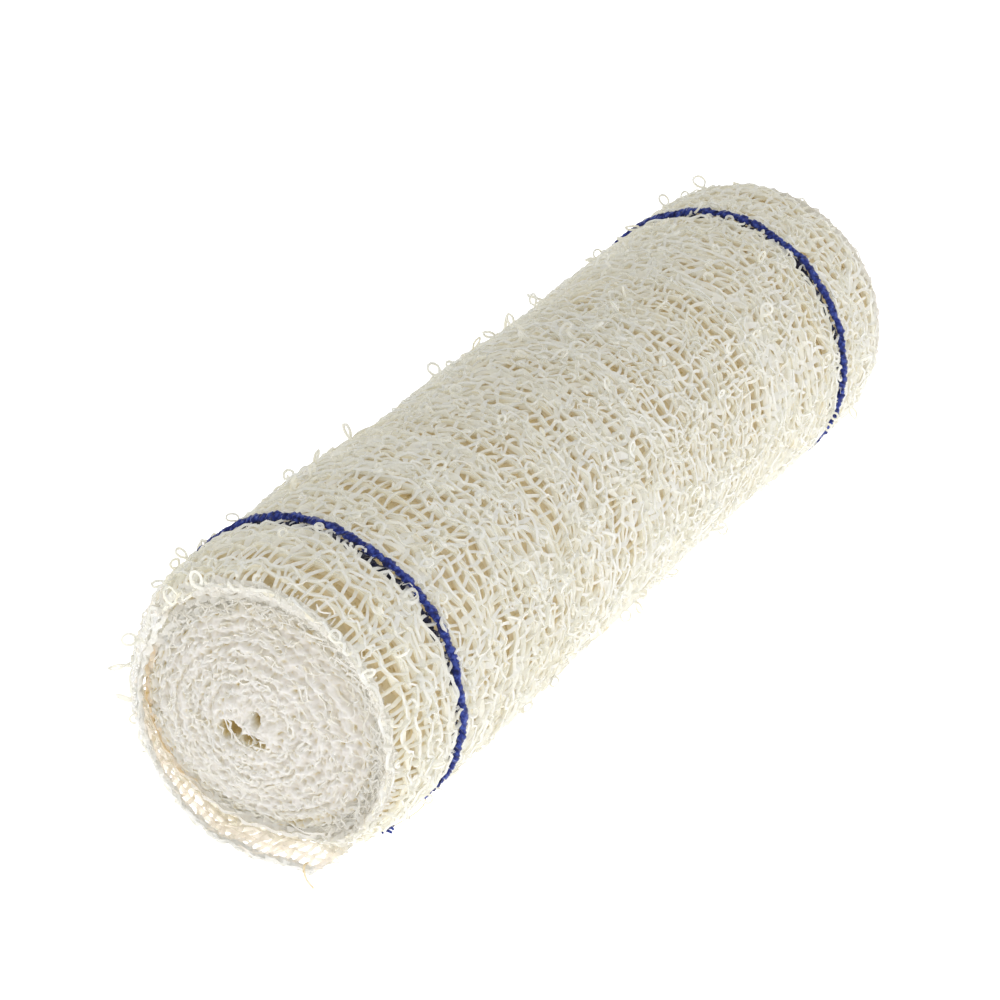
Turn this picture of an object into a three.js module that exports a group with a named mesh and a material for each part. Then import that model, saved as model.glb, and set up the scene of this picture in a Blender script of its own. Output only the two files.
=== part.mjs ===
// A crepe bandage roll: a 150 mm wide strip of open cotton crepe, wound up on itself and laid on
// its side. Millimetres, +Z up. The roll's axis runs along X. The end at -X is the near one. The
// cloth rests on z = 0, and the part's bounding box is centred on the Z axis.
//
// An angle goes round the roll's axis, counter-clockwise as seen from the near end: 0 is the
// side at -Y, 90 the top, 180 the side at +Y and 270 the underside. An inset is measured along
// the roll, from the plane of one of its ends towards its middle.
import * as THREE from "three";
import { mergeVertices } from "three/addons/utils/BufferGeometryUtils.js";

// Driving dimensions
const CLOTH_WIDTH = 150; // from selvedge to selvedge, the length of the roll
const CLOTH = 1.2; // one thickness of the crepe
const GAP = 0.3; // air between two turns
const ROLL_RADIUS = 20.7; // over the outermost turn
const CORE_RADIUS = 1.9; // the small opening that the first turn leaves
const CORE_DEPTH = 9;
const CORE_PLACE = { sideways: 2.2, lift: -1.2 }; // the coil has wandered off the roll's axis
const COIL_RADIUS = 16.6; // of the wound edges that show in each end
const COIL_TURNS = 8;
const COIL_RELIEF = 0.75; // how far the furrow between two turns lies below their edges
const COIL_INSET = 2.6; // of the outermost of those edges
const COIL_CROWN = 1.3; // how far the coil's middle stands out beyond its outer edge
const LOOSE_FROM = 140; // the angle at which the last turn comes away from the roll
const LOOSE_STEP = 0.7; // the angle that the step at its root takes up
const SLACKENS = 0.45; // how far the last turn stands off the roll by then
const TAIL_REACH = 9.8; // how far past the axis the cut end lies on the floor

// The near end is drawn in more than the far one, and its coil and rim have sunk a little out of
// round: their heights are shares of their widths.
const NEAR_END = { side: -1, fuller: 0, coilHeight: 0.9, rimHeight: 0.96, lift: -0.4 };
const FAR_END = { side: 1, fuller: 1.5, coilHeight: 0.95, rimHeight: 1, lift: 0 };

// Derived sizes
const TURN = CLOTH + GAP;
const END = CLOTH_WIDTH / 2;
const AXIS_HEIGHT = ROLL_RADIUS - 0.2; // its own weight lets the roll settle a little
const COIL_PITCH = (COIL_RADIUS - CORE_RADIUS) / COIL_TURNS;

// Fineness of the two solids
const COLUMNS = 54;
const BODY_RINGS = 15;
const SHEET_LENGTHS = 42;
const SHEET_WIDTHS = 32;

// The body is a little uneven along its length: fuller behind the near end, slimmer beyond the
// middle.
const GIRTH = [
  { x: -75, more: 0.0 },
  { x: -56, more: -0.05 },
  { x: -40, more: 0.3 },
  { x: -20, more: -0.25 },
  { x: 0, more: -0.05 },
  { x: 20, more: -0.4 },
  { x: 38, more: -0.3 },
  { x: 60, more: 0.0 },
  { x: 75, more: 0.3 },
];

// How the roll's surface turns in at each end, from the coil outwards. On the tight side the
// last turn's selvedge stands up as a rim round the coil. On the loose side the last turn has
// left the roll, and the turn below it slopes straight down to the coil.
const SHOULDER = [
  { tightRadius: 16.9, tightInset: 3.1, looseRadius: 16.5, looseInset: 2.9 },
  { tightRadius: 17.5, tightInset: 1.1, looseRadius: 16.8, looseInset: 3.3 },
  { tightRadius: 18.2, tightInset: 0.2, looseRadius: 17.1, looseInset: 4.3 },
  { tightRadius: 19.1, tightInset: 0.8, looseRadius: 17.6, looseInset: 6.0 },
  { tightRadius: 19.8, tightInset: 2.4, looseRadius: 18.2, looseInset: 8.0 },
  { tightRadius: 20.3, tightInset: 5.0, looseRadius: 18.7, looseInset: 10.4 },
  { tightRadius: 20.6, tightInset: 8.6, looseRadius: 19.1, looseInset: 13.4 },
];

// The loose turn, from its root at the upper side down to the floor: how far it stands off the
// roll, its share of the roll's own shoulder, and how far its selvedges are drawn in beyond that.
const LOOSE_TURN = [
  { angle: 140, slack: 0.45, shoulder: 0.9, drawn: 0.5 },
  { angle: 154, slack: 0.8, shoulder: 0.5, drawn: 2.9 },
  { angle: 180, slack: 1.2, shoulder: 0.2, drawn: 3.8 },
  { angle: 205, slack: 1.5, shoulder: 0, drawn: 4.2 },
  { angle: 228, slack: 1.6, shoulder: 0, drawn: 3.5 },
  { angle: 246, slack: 1.4, shoulder: 0, drawn: 2.1 },
];
const DRAWN_IN_WIDTH = 12; // the strip along each selvedge that is drawn in
// Then it lies flat under the roll, with its selvedges a little off the floor at first.
const TAIL = [
  { y: 5, lift: 1 },
  { y: 1.5, lift: 0.4 },
  { y: -2.5, lift: 0.1 },
  { y: -6.5, lift: 0 },
];

// The cut end is not quite square: it falls short at the near corner.
const CUT_END = [
  { x: -75, short: 3.1 },
  { x: -66, short: 1.9 },
  { x: -56, short: 0.1 },
  { x: -30, short: 0.2 },
  { x: 0, short: 0.6 },
  { x: 30, short: 0.0 },
  { x: 58, short: 0.5 },
  { x: 75, short: 1.3 },
];

const { clamp, degToRad, lerp, mapLinear, smoothstep } = THREE.MathUtils;

// Reads a column of one of the tables above at any place between its rows, eased from row to row.
function read(table, key, column, at) {
  const last = table.length - 1;
  const row = table.findIndex((entry) => entry[key] >= at);
  if (row === 0) return table[0][column];
  if (row < 0) return table[last][column];
  const share = smoothstep(at, table[row - 1][key], table[row][key]);
  return lerp(table[row - 1][column], table[row][column], share);
}

// The share of its last turn that the roll's surface has made at an angle past the root.
function turned(angle) {
  return (angle - LOOSE_FROM) / 360;
}

// How far the surface still lies below full radius there. Most of a turn's thickness is made up
// early, where the roll presses on its own tail, and towards the loose turn it slackens.
function below(angle) {
  return TURN * (1 - turned(angle)) ** 3 - SLACKENS * turned(angle) ** 4;
}

// The roll is soft: its surface has low swells, the same on each turn.
function swell(x, angle) {
  const round = degToRad(angle);
  const lengthwise = Math.sin(x / 6.1 + 2 * Math.sin(round)) * 0.1;
  const spiral = Math.sin(2 * round + x / 19) * 0.14;
  const lobes = Math.sin(3 * round - x / 31 + 1.2) * 0.1;
  return lengthwise + spiral + lobes;
}

// A point on a ring of the given radius, at an angle round the axis. Flattening takes its height
// down, and lift moves its middle.
function onRing(x, radius, angle, { flattening = 1, sideways = 0, lift = 0 } = {}) {
  const round = degToRad(angle);
  return new THREE.Vector3(
    x,
    sideways - radius * Math.cos(round),
    AXIS_HEIGHT + lift + radius * flattening * Math.sin(round),
  );
}

// The roll lies on its own tail: its underside is flat there and goes no lower.
function settled(point) {
  point.z = Math.max(point.z, TURN);
  return point;
}

// How tight the last turn is at an angle: 1 where it is part of the roll, 0 where it has left.
function tightness(angle) {
  return smoothstep(angle, 262, 326);
}

// Each end has a small opening in its middle, pressed out of round.
function coreRings({ side }) {
  const rings = [
    { radius: 0, inset: CORE_DEPTH },
    { radius: CORE_RADIUS * 0.55, inset: CORE_DEPTH - 0.4 },
    { radius: CORE_RADIUS * 0.85, inset: CORE_DEPTH * 0.45 },
  ];
  return rings.map(({ radius, inset }) => (angle) => {
    const lobes = 1 + 0.3 * Math.cos(degToRad(2 * angle - 50)) + 0.12 * Math.cos(degToRad(3 * angle));
    return onRing(side * (END - inset), radius * lobes, angle, CORE_PLACE);
  });
}

// The edges of the wound turns: a crest and a furrow for each, wandering outwards like the
// spiral that they are.
function coilRings({ side, fuller, coilHeight, lift }) {
  const rings = [];
  for (let half = 0; half < 2 * COIL_TURNS; half += 1) {
    const mean = CORE_RADIUS + (COIL_PITCH * (half + 0.2)) / 2;
    const share = mean / COIL_RADIUS;
    const crown = COIL_CROWN * (1 - share * share);
    const furrow = half % 2 === 0 ? 0 : COIL_RELIEF;
    rings.push((angle) => {
      const round = degToRad(angle);
      const wander = smoothstep(turned(angle), 0, 0.92) - smoothstep(turned(angle), 0.92, 1) - 0.5;
      const uneven = 0.13 * Math.sin(3 * round + half) + 0.08 * Math.sin(5 * round - 2 * half);
      const radius = mean + (COIL_PITCH * wander * 0.36 + uneven + fuller) * share;
      const inset = COIL_INSET - crown + furrow + 0.25 * Math.sin(2 * round + 0.7 * half);
      const flattening = lerp(1, coilHeight, share);
      return onRing(side * (END - inset), radius, angle, {
        flattening,
        sideways: lerp(CORE_PLACE.sideways, 0, share),
        lift: lerp(CORE_PLACE.lift, lift, share),
      });
    });
  }
  return rings;
}

// From the coil over the rim and round the shoulder to the body.
function shoulderRings({ side, fuller, coilHeight, rimHeight, lift }) {
  return SHOULDER.map((row, index) => {
    const out = index / (SHOULDER.length - 1);
    return (angle) => {
      const tight = tightness(angle);
      const spiral = -below(angle) * out * tight;
      const ragged = 0.3 * Math.sin(degToRad(7 * angle)) * (1 - out);
      const inset = lerp(row.looseInset, row.tightInset, tight) + ragged * ragged;
      const x = side * (END - inset);
      const drawnIn = lerp(row.looseRadius, row.tightRadius, tight) + fuller * (1 - out);
      const soft = (swell(x, angle) + read(GIRTH, "x", "more", x)) * out;
      const flattening = lerp(lerp(coilHeight, rimHeight, tight), 1, Math.min(1, 1.5 * out));
      const place = { flattening, lift: lift * (1 - out) };
      return settled(onRing(x, drawnIn + spiral + soft, angle, place));
    };
  });
}

// The body: one turn's thickness lower just past the root of the loose turn, and back at full
// radius when it comes round to it again.
function bodyRadius(x, angle) {
  return ROLL_RADIUS - below(angle) + swell(x, angle) + read(GIRTH, "x", "more", x);
}

function bodyRings() {
  const first = -END + 16;
  return Array.from({ length: BODY_RINGS }, (_, index) => {
    const x = mapLinear(index, 0, BODY_RINGS - 1, -first, first);
    return (angle) => settled(onRing(x, bodyRadius(x, angle), angle));
  });
}

// The wound form is a turned shape whose every ring is then put out of round.
function woundRoll() {
  const rings = [
    ...coreRings(FAR_END),
    ...coilRings(FAR_END),
    ...shoulderRings(FAR_END),
    ...bodyRings(),
    ...shoulderRings(NEAR_END).reverse(),
    ...coilRings(NEAR_END).reverse(),
    ...coreRings(NEAR_END).reverse(),
  ];
  const profile = rings.map((ring, index) => {
    const onAxis = index === 0 || index === rings.length - 1;
    return new THREE.Vector2(onAxis ? 0 : ROLL_RADIUS, index);
  });
  const solid = new THREE.LatheGeometry(profile, COLUMNS);
  const position = solid.getAttribute("position");
  for (let column = 0; column <= COLUMNS; column += 1) {
    const whole = column % COLUMNS;
    const angle = mapLinear(whole, 0, COLUMNS - 1, LOOSE_FROM, LOOSE_FROM + 360 - LOOSE_STEP);
    rings.forEach((ring, row) => {
      position.setXYZ(column * rings.length + row, ...ring(angle).toArray());
    });
  }
  return solid;
}

// How far the rim and the shoulder lie below full radius at an inset from their end.
function shoulderAt(inset) {
  return ROLL_RADIUS - read(SHOULDER.slice(2), "tightInset", "tightRadius", inset);
}

// The outer face of the loose turn, as one curve across the roll, from its root to its cut end.
function looseSection(x) {
  const inset = END - Math.abs(x);
  const more = read(GIRTH, "x", "more", x);
  const edge = Math.max(0, 1 - inset / DRAWN_IN_WIDTH);
  const fade = smoothstep(inset, 2, 14);
  const { fuller } = x < 0 ? NEAR_END : FAR_END;
  const points = LOOSE_TURN.map((row, index) => {
    const angle = index === 0 ? row.angle + 0.9 : row.angle;
    const soft = (swell(x, angle) + more) * fade;
    const curl = shoulderAt(inset) * row.shoulder + (row.drawn - fuller) * edge * edge;
    const radius = ROLL_RADIUS + row.slack + soft - curl;
    return onRing(x, radius, angle);
  });
  TAIL.forEach(({ y, lift }) => points.push(new THREE.Vector3(x, y, lift * edge)));
  points.push(new THREE.Vector3(x, read(CUT_END, "x", "short", x) - TAIL_REACH, 0));
  return new THREE.CatmullRomCurve3(points, false, "centripetal");
}

// The loose end is a flat strip of cloth, bent along that curve.
function looseEnd() {
  const strip = new THREE.BoxGeometry(1, 1, 1, SHEET_LENGTHS, SHEET_WIDTHS, 1);
  const position = strip.getAttribute("position");
  const sections = new Map();
  for (let vertex = 0; vertex < position.count; vertex += 1) {
    const along = position.getX(vertex) + 0.5;
    const across = -2 * position.getY(vertex);
    const inner = position.getZ(vertex) < 0;
    const selvedge = 0.3 + 1.2 * smoothstep(along, 0, 0.4) + 0.3 * Math.sin(9 * along) ** 2;
    const x = (END - selvedge * smoothstep(Math.abs(across), 0.9, 1)) * across;
    const key = x.toFixed(3);
    if (!sections.has(key)) sections.set(key, looseSection(x));
    const section = sections.get(key);
    const point = section.getPoint(along);
    if (inner) {
      // Its thickness goes inwards, square to the strip, but straight to the roll's axis at its root.
      const tangent = section.getTangent(along);
      const outwards = new THREE.Vector3(0, -tangent.z, tangent.y);
      const radial = new THREE.Vector3(0, point.y, point.z - AXIS_HEIGHT).normalize();
      outwards.lerp(radial, 1 - smoothstep(along, 0, 0.08)).normalize();
      point.addScaledVector(outwards, -CLOTH);
    }
    point.z = clamp(point.z, inner ? CLOTH : 0, Infinity);
    position.setXYZ(vertex, point.x, point.y, point.z);
  }
  return strip;
}

function cotton(color) {
  return new THREE.MeshStandardMaterial({ color, roughness: 0.96, metalness: 0 });
}

function piece(name, geometry, material) {
  geometry.deleteAttribute("normal");
  geometry.deleteAttribute("uv");
  const merged = mergeVertices(geometry, 1e-3);
  merged.computeVertexNormals();
  const mesh = new THREE.Mesh(merged, material);
  mesh.name = name;
  return mesh;
}

const bandage = new THREE.Group();
bandage.add(
  piece("roll", woundRoll(), cotton(0xe4dccb)),
  piece("loose_end", looseEnd(), cotton(0xece6d8)),
);

// The loose turn makes the +Y side fuller, so the whole is moved over to centre it.
const box = new THREE.Box3().setFromObject(bandage);
const middle = box.getCenter(new THREE.Vector3());
bandage.position.set(-middle.x, -middle.y, -box.min.z);

export default bandage;
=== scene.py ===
"""Looks of the crepe bandage roll: open cotton crepe, laid thread by thread over its solids.

Sizes of the wound form and its threads are millimetres in the solids' frame. A finished mesh is in
metres, and so are the finishes, the floor and the lamps.

The cloth has its own coordinates. `along` runs down the strip from the root of the loose turn, once
round the roll and then out over the loose turn to the cut end. `across` runs from the near selvedge
(negative) to the far one, and `height` stands off the cloth's outer face.
"""
import logging
import math
from collections.abc import Callable
from dataclasses import dataclass, field
from enum import Enum
from functools import cached_property

import bmesh
import bpy
import numpy as np
from mathutils import Matrix, Vector


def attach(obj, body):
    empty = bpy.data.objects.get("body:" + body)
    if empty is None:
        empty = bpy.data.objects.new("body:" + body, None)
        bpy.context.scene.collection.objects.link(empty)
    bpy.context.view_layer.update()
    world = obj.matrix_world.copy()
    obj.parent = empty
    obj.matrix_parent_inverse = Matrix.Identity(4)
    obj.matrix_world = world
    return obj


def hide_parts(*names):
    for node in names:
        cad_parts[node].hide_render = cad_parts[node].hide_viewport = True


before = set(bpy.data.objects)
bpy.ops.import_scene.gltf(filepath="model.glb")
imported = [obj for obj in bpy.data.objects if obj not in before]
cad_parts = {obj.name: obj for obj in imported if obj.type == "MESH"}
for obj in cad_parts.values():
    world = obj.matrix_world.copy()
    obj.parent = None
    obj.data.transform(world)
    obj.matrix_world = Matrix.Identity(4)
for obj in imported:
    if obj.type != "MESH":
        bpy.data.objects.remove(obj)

Array = np.ndarray
Values = np.ndarray | float
Colour = tuple[float, float, float]
Place = tuple[float, float, float]
Socket = bpy.types.NodeSocket
Inputs = dict[str | int, Socket | float | tuple[float, ...]]
LOG = logging.getLogger("bandage")
MM = 0.001
BODY = "root"
TINT = "tint"

# Driving sizes, the same as those of the solids
AXIS_Y = -0.58
AXIS_HEIGHT = 20.5
HALF_WIDTH = 75.0
TURN = 1.5
SLACKENS = 0.45
ROLL_RADIUS = 20.7
ROOT_ANGLE = 140.0
CORE_RADIUS = 1.9
COIL_RADIUS = 16.6
COIL_TURNS = 8
COIL_PITCH = (COIL_RADIUS - CORE_RADIUS) / COIL_TURNS
LAP_SHIFT = 0.1
BLUE_AT = 58.9

# The body lies between the shoulders, which are loose up to the first of two angles and tight past the other
BODY_REACH = 59.0
TIGHT_SIDE = (262, 326)

# Middle of the pinched opening in an end, measured towards -Y and up from the axis
OPENING_AT = (-2.4, -1.6)

# The inner turn's net lies under the loose turn as far as one angle, and the outer net starts at the other
INNER_TO = 262.0
NET_FROM = 256.0

# How far past its root the loose turn's piece starts, and past the cut end the marker threads stop
SPLIT_PAST_ROOT = 0.3
MARKER_PAST_CUT = 1.2


class End(Enum):
    """The two ends of the roll, by the sign of their place along X."""

    NEAR = -1
    FAR = 1


def table(*rows: tuple[float, ...]) -> Array:
    """Returns rows of numbers as a table whose first column is the place."""
    return np.array(rows, float)


# Place along the roll, and how much fuller it is there
GIRTH = table(
    (-75, 0), (-56, -0.05), (-40, 0.3), (-20, -0.25), (0, -0.05), (20, -0.4), (38, -0.3), (60, 0), (75, 0.3),
)

# Radius and inset on the tight side, then on the loose side, from the coil outwards
SHOULDER = table(
    (16.9, 3.1, 16.5, 2.9), (17.5, 1.1, 16.8, 3.3), (18.2, 0.2, 17.1, 4.3), (19.1, 0.8, 17.6, 6.0),
    (19.8, 2.4, 18.2, 8.0), (20.3, 5.0, 18.7, 10.4), (20.6, 8.6, 19.1, 13.4),
)
# Angle, slack off full radius, share of the tight shoulder's curl, and how far the edge is drawn in
LOOSE_TURN = table(
    (140, 0.45, 0.9, 0.5), (154, 0.8, 0.5, 2.9), (180, 1.2, 0.2, 3.8), (205, 1.5, 0, 4.2),
    (228, 1.6, 0, 3.5), (246, 1.4, 0, 2.1),
)

# Place across the tail from below the axis, and how far its edges are lifted there
TAIL = table((5, 1), (1.5, 0.4), (-2.5, 0.1), (-6.5, 0))
TAIL_REACH = 9.8

# Place along the roll, and how far the cut end falls short of the tail's reach
CUT_END = table((-75, 3.1), (-66, 1.9), (-56, 0.1), (-30, 0.2), (0, 0.6), (30, 0), (58, 0.5), (75, 1.3))

# What sets the two ends apart: how much fuller each is, how flat its coil and its rim are beside a circle,
# how far its coil is raised, and how long the marker thread's fray is there
END_FULLER = {End.NEAR: 0.0, End.FAR: 1.5}
END_COIL_HEIGHT = {End.NEAR: 0.9, End.FAR: 0.95}
END_RIM_HEIGHT = {End.NEAR: 0.96, End.FAR: 1.0}
END_LIFT = {End.NEAR: -0.4, End.FAR: 0.0}
MARKER_FRAY = {End.NEAR: 1.0, End.FAR: 0.35}


def place_piece(name: str, data: bpy.types.ID) -> bpy.types.Object:
    """Puts a mesh or a curve in the scene.

    Args:
        name: Name of the piece.
        data: The mesh or curve.

    Returns:
        The piece's object.
    """
    piece = bpy.data.objects.new(name, data)
    bpy.context.scene.collection.objects.link(piece)
    return piece


def step(value: Values, low: float, high: float) -> Array:
    """Returns a smooth step from 0 at low to 1 at high."""
    share = np.clip((np.asarray(value, float) - low) / (high - low), 0, 1)
    return share * share * (3 - 2 * share)


def read(rows: Array, column: int, at: Array) -> Array:
    """Reads a column of a table at places between its rows, eased from row to row.

    Args:
        rows: The table, whose first column rises.
        column: Which column to read.
        at: The places.

    Returns:
        The values there.
    """
    places, values = rows[:, 0], rows[:, column]
    at = np.clip(np.asarray(at, float), places[0], places[-1])
    above = np.clip(np.searchsorted(places, at), 1, len(places) - 1)
    share = (at - places[above - 1]) / (places[above] - places[above - 1])
    share = share * share * (3 - 2 * share)
    return values[above - 1] + (values[above] - values[above - 1]) * share


def hump(value: Values, middle: float, reach: float) -> Values:
    """Returns a smooth hump, 1 at its middle and 0 far from it."""
    return np.exp(-(((value - middle) / reach) ** 2))


def eased(rows: Array) -> Array:
    """Puts one more row of numbers between each two, on the smooth curve through them.

    Args:
        rows: The rows.

    Returns:
        The longer rows.
    """
    ends = np.concatenate([rows[:1], rows, rows[-1:]])
    more = np.empty((2 * len(rows) - 1, *rows.shape[1:]))
    more[0::2], more[1::2] = rows, (9 * (ends[1:-2] + ends[2:-1]) - ends[:-3] - ends[3:]) / 16
    return more


class Waves:
    """A smooth uneven field: a sum of sines whose lengths and directions are drawn once."""

    def __init__(self, seed: int, shortest: float, longest: float, count: int = 10) -> None:
        """Draws the waves.

        Args:
            seed: Seed of the draw.
            shortest: Shortest wave length.
            longest: Longest wave length.
            count: How many waves are added up.
        """
        rng = np.random.default_rng(seed)
        length = np.exp(rng.uniform(math.log(shortest), math.log(longest), count))
        turn = rng.uniform(0, 2 * math.pi, count)
        self.rate = 2 * math.pi / length
        self.first, self.second = np.cos(turn), np.sin(turn)
        self.phase = rng.uniform(0, 2 * math.pi, count)
        self.size = math.sqrt(2 / count)

    def over(self, first: Values, second: Values) -> Array:
        """Reads the field over two coordinates.

        Args:
            first: The first coordinate.
            second: The second one.

        Returns:
            Its values, with a spread of about 1.
        """
        first, second = np.broadcast_arrays(np.asarray(first, float), np.asarray(second, float))
        total = np.zeros(first.shape)
        for rate, a, b, phase in zip(self.rate, self.first, self.second, self.phase):
            total += np.sin(rate * (a * first + b * second) + phase)
        return total * self.size

    def down(self, place: Array, strand: Values) -> Array:
        """Reads the field down a strand, each strand on a line of its own.

        Args:
            place: Places down the strand.
            strand: The strand's number.

        Returns:
            Its values, with a spread of about 1.
        """
        total = np.zeros(np.broadcast(place, strand).shape)
        for rate, phase in zip(self.rate, self.phase):
            total += np.sin(rate * place + phase * (1 + 7.31 * np.asarray(strand, float)))
        return total * self.size


class RollForm:
    """The wound form of the roll, with the same curves as its solid."""

    COIL_INSET = 2.6
    COIL_DISH = 1.3
    HEART_ASIDE = 2.2
    HEART_LIFT = -1.2

    def swell(self, x: Values, angle: Values) -> Values:
        """Reads the low swells of the soft surface.

        Args:
            x: Place along the roll.
            angle: Angle round the axis.

        Returns:
            How far the surface is raised.
        """
        turn = np.radians(angle)
        wide = 0.1 * np.sin(x / 6.1 + 2 * np.sin(turn)) + 0.14 * np.sin(2 * turn + x / 19)
        return wide + 0.1 * np.sin(3 * turn - x / 31 + 1.2)

    def below(self, angle: Values) -> Values:
        """Returns how far the surface lies below full radius at an angle past the root."""
        turned = (angle - ROOT_ANGLE) / 360
        return TURN * (1 - turned) ** 3 - SLACKENS * turned ** 4

    def ring(
        self, x: Values, radius: Array, angle: Values, flat: Values = 1.0, aside: Values = 0.0,
        lift: Values = 0.0,
    ) -> Array:
        """Returns points on rings round the axis.

        Args:
            x: Place along the roll.
            radius: Radius of the ring.
            angle: Angle round the axis in degrees.
            flat: Share of its width that the ring is high.
            aside: How far its middle lies off the axis in Y.
            lift: How far its middle lies above the axis.

        Returns:
            An array of points whose last side is 3.
        """
        turn = np.radians(angle)
        y = AXIS_Y + aside - radius * np.cos(turn)
        z = AXIS_HEIGHT + lift + radius * flat * np.sin(turn)
        return np.stack(np.broadcast_arrays(x, y, z), axis=-1)

    def settled(self, points: Array) -> Array:
        """Returns the points with none below the roll's flat underside."""
        points[..., 2] = np.maximum(points[..., 2], TURN)
        return points

    def body(self, x: Array, angle: Array) -> Array:
        """Returns points of the body's surface."""
        radius = ROLL_RADIUS - self.below(angle) + self.swell(x, angle) + read(GIRTH, 1, x)
        return self.settled(self.ring(x, radius, angle))

    def shoulder(self, end: End, rows: Array, row: int, angle: Array) -> Array:
        """Returns the ring of a shoulder row.

        Args:
            end: Which end.
            rows: Table of the shoulder, with the columns of SHOULDER.
            row: Which of its rows.
            angle: Angles round the axis.

        Returns:
            An array of points.
        """
        tight_radius, tight_inset, loose_radius, loose_inset = rows[row]
        tight, out = step(angle, *TIGHT_SIDE), row / (len(rows) - 1)
        inset = loose_inset + (tight_inset - loose_inset) * tight
        x = end.value * (HALF_WIDTH - inset)
        drawn = loose_radius + (tight_radius - loose_radius) * tight + END_FULLER[end] * (1 - out)
        radius = drawn - self.below(angle) * out * tight + (self.swell(x, angle) + read(GIRTH, 1, x)) * out
        flat = END_COIL_HEIGHT[end] + (END_RIM_HEIGHT[end] - END_COIL_HEIGHT[end]) * tight
        flat = flat + (1 - flat) * min(1, 1.5 * out)
        return self.settled(self.ring(x, radius, angle, flat=flat, lift=END_LIFT[end] * (1 - out)))

    def coil(self, end: End, mean: Array, angle: Array, proud: Values = 0.0, out: Values = 0.0) -> Array:
        """Returns points over the wound edges in an end.

        Args:
            end: Which end.
            mean: Mean radius from the middle of the coil.
            angle: Angle round it in degrees.
            proud: How far the points stand out of the end.
            out: How far they are moved outwards from the middle.

        Returns:
            An array of points.
        """
        share = mean / COIL_RADIUS
        turn = np.radians(angle)
        half = 2 * (mean - CORE_RADIUS) / COIL_PITCH
        uneven = 0.13 * np.sin(3 * turn + half) + 0.08 * np.sin(5 * turn - 2 * half)
        radius = mean + out + (uneven + END_FULLER[end]) * share
        dished = self.COIL_INSET - self.COIL_DISH * (1 - share * share)
        x = end.value * (HALF_WIDTH - (dished + 0.25 * np.sin(2 * turn + 0.35 * half) - proud))
        flat = 1 + (END_COIL_HEIGHT[end] - 1) * share
        lift = self.HEART_LIFT + (END_LIFT[end] - self.HEART_LIFT) * share
        return self.ring(x, radius, angle, flat=flat, aside=self.HEART_ASIDE * (1 - share), lift=lift)


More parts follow.
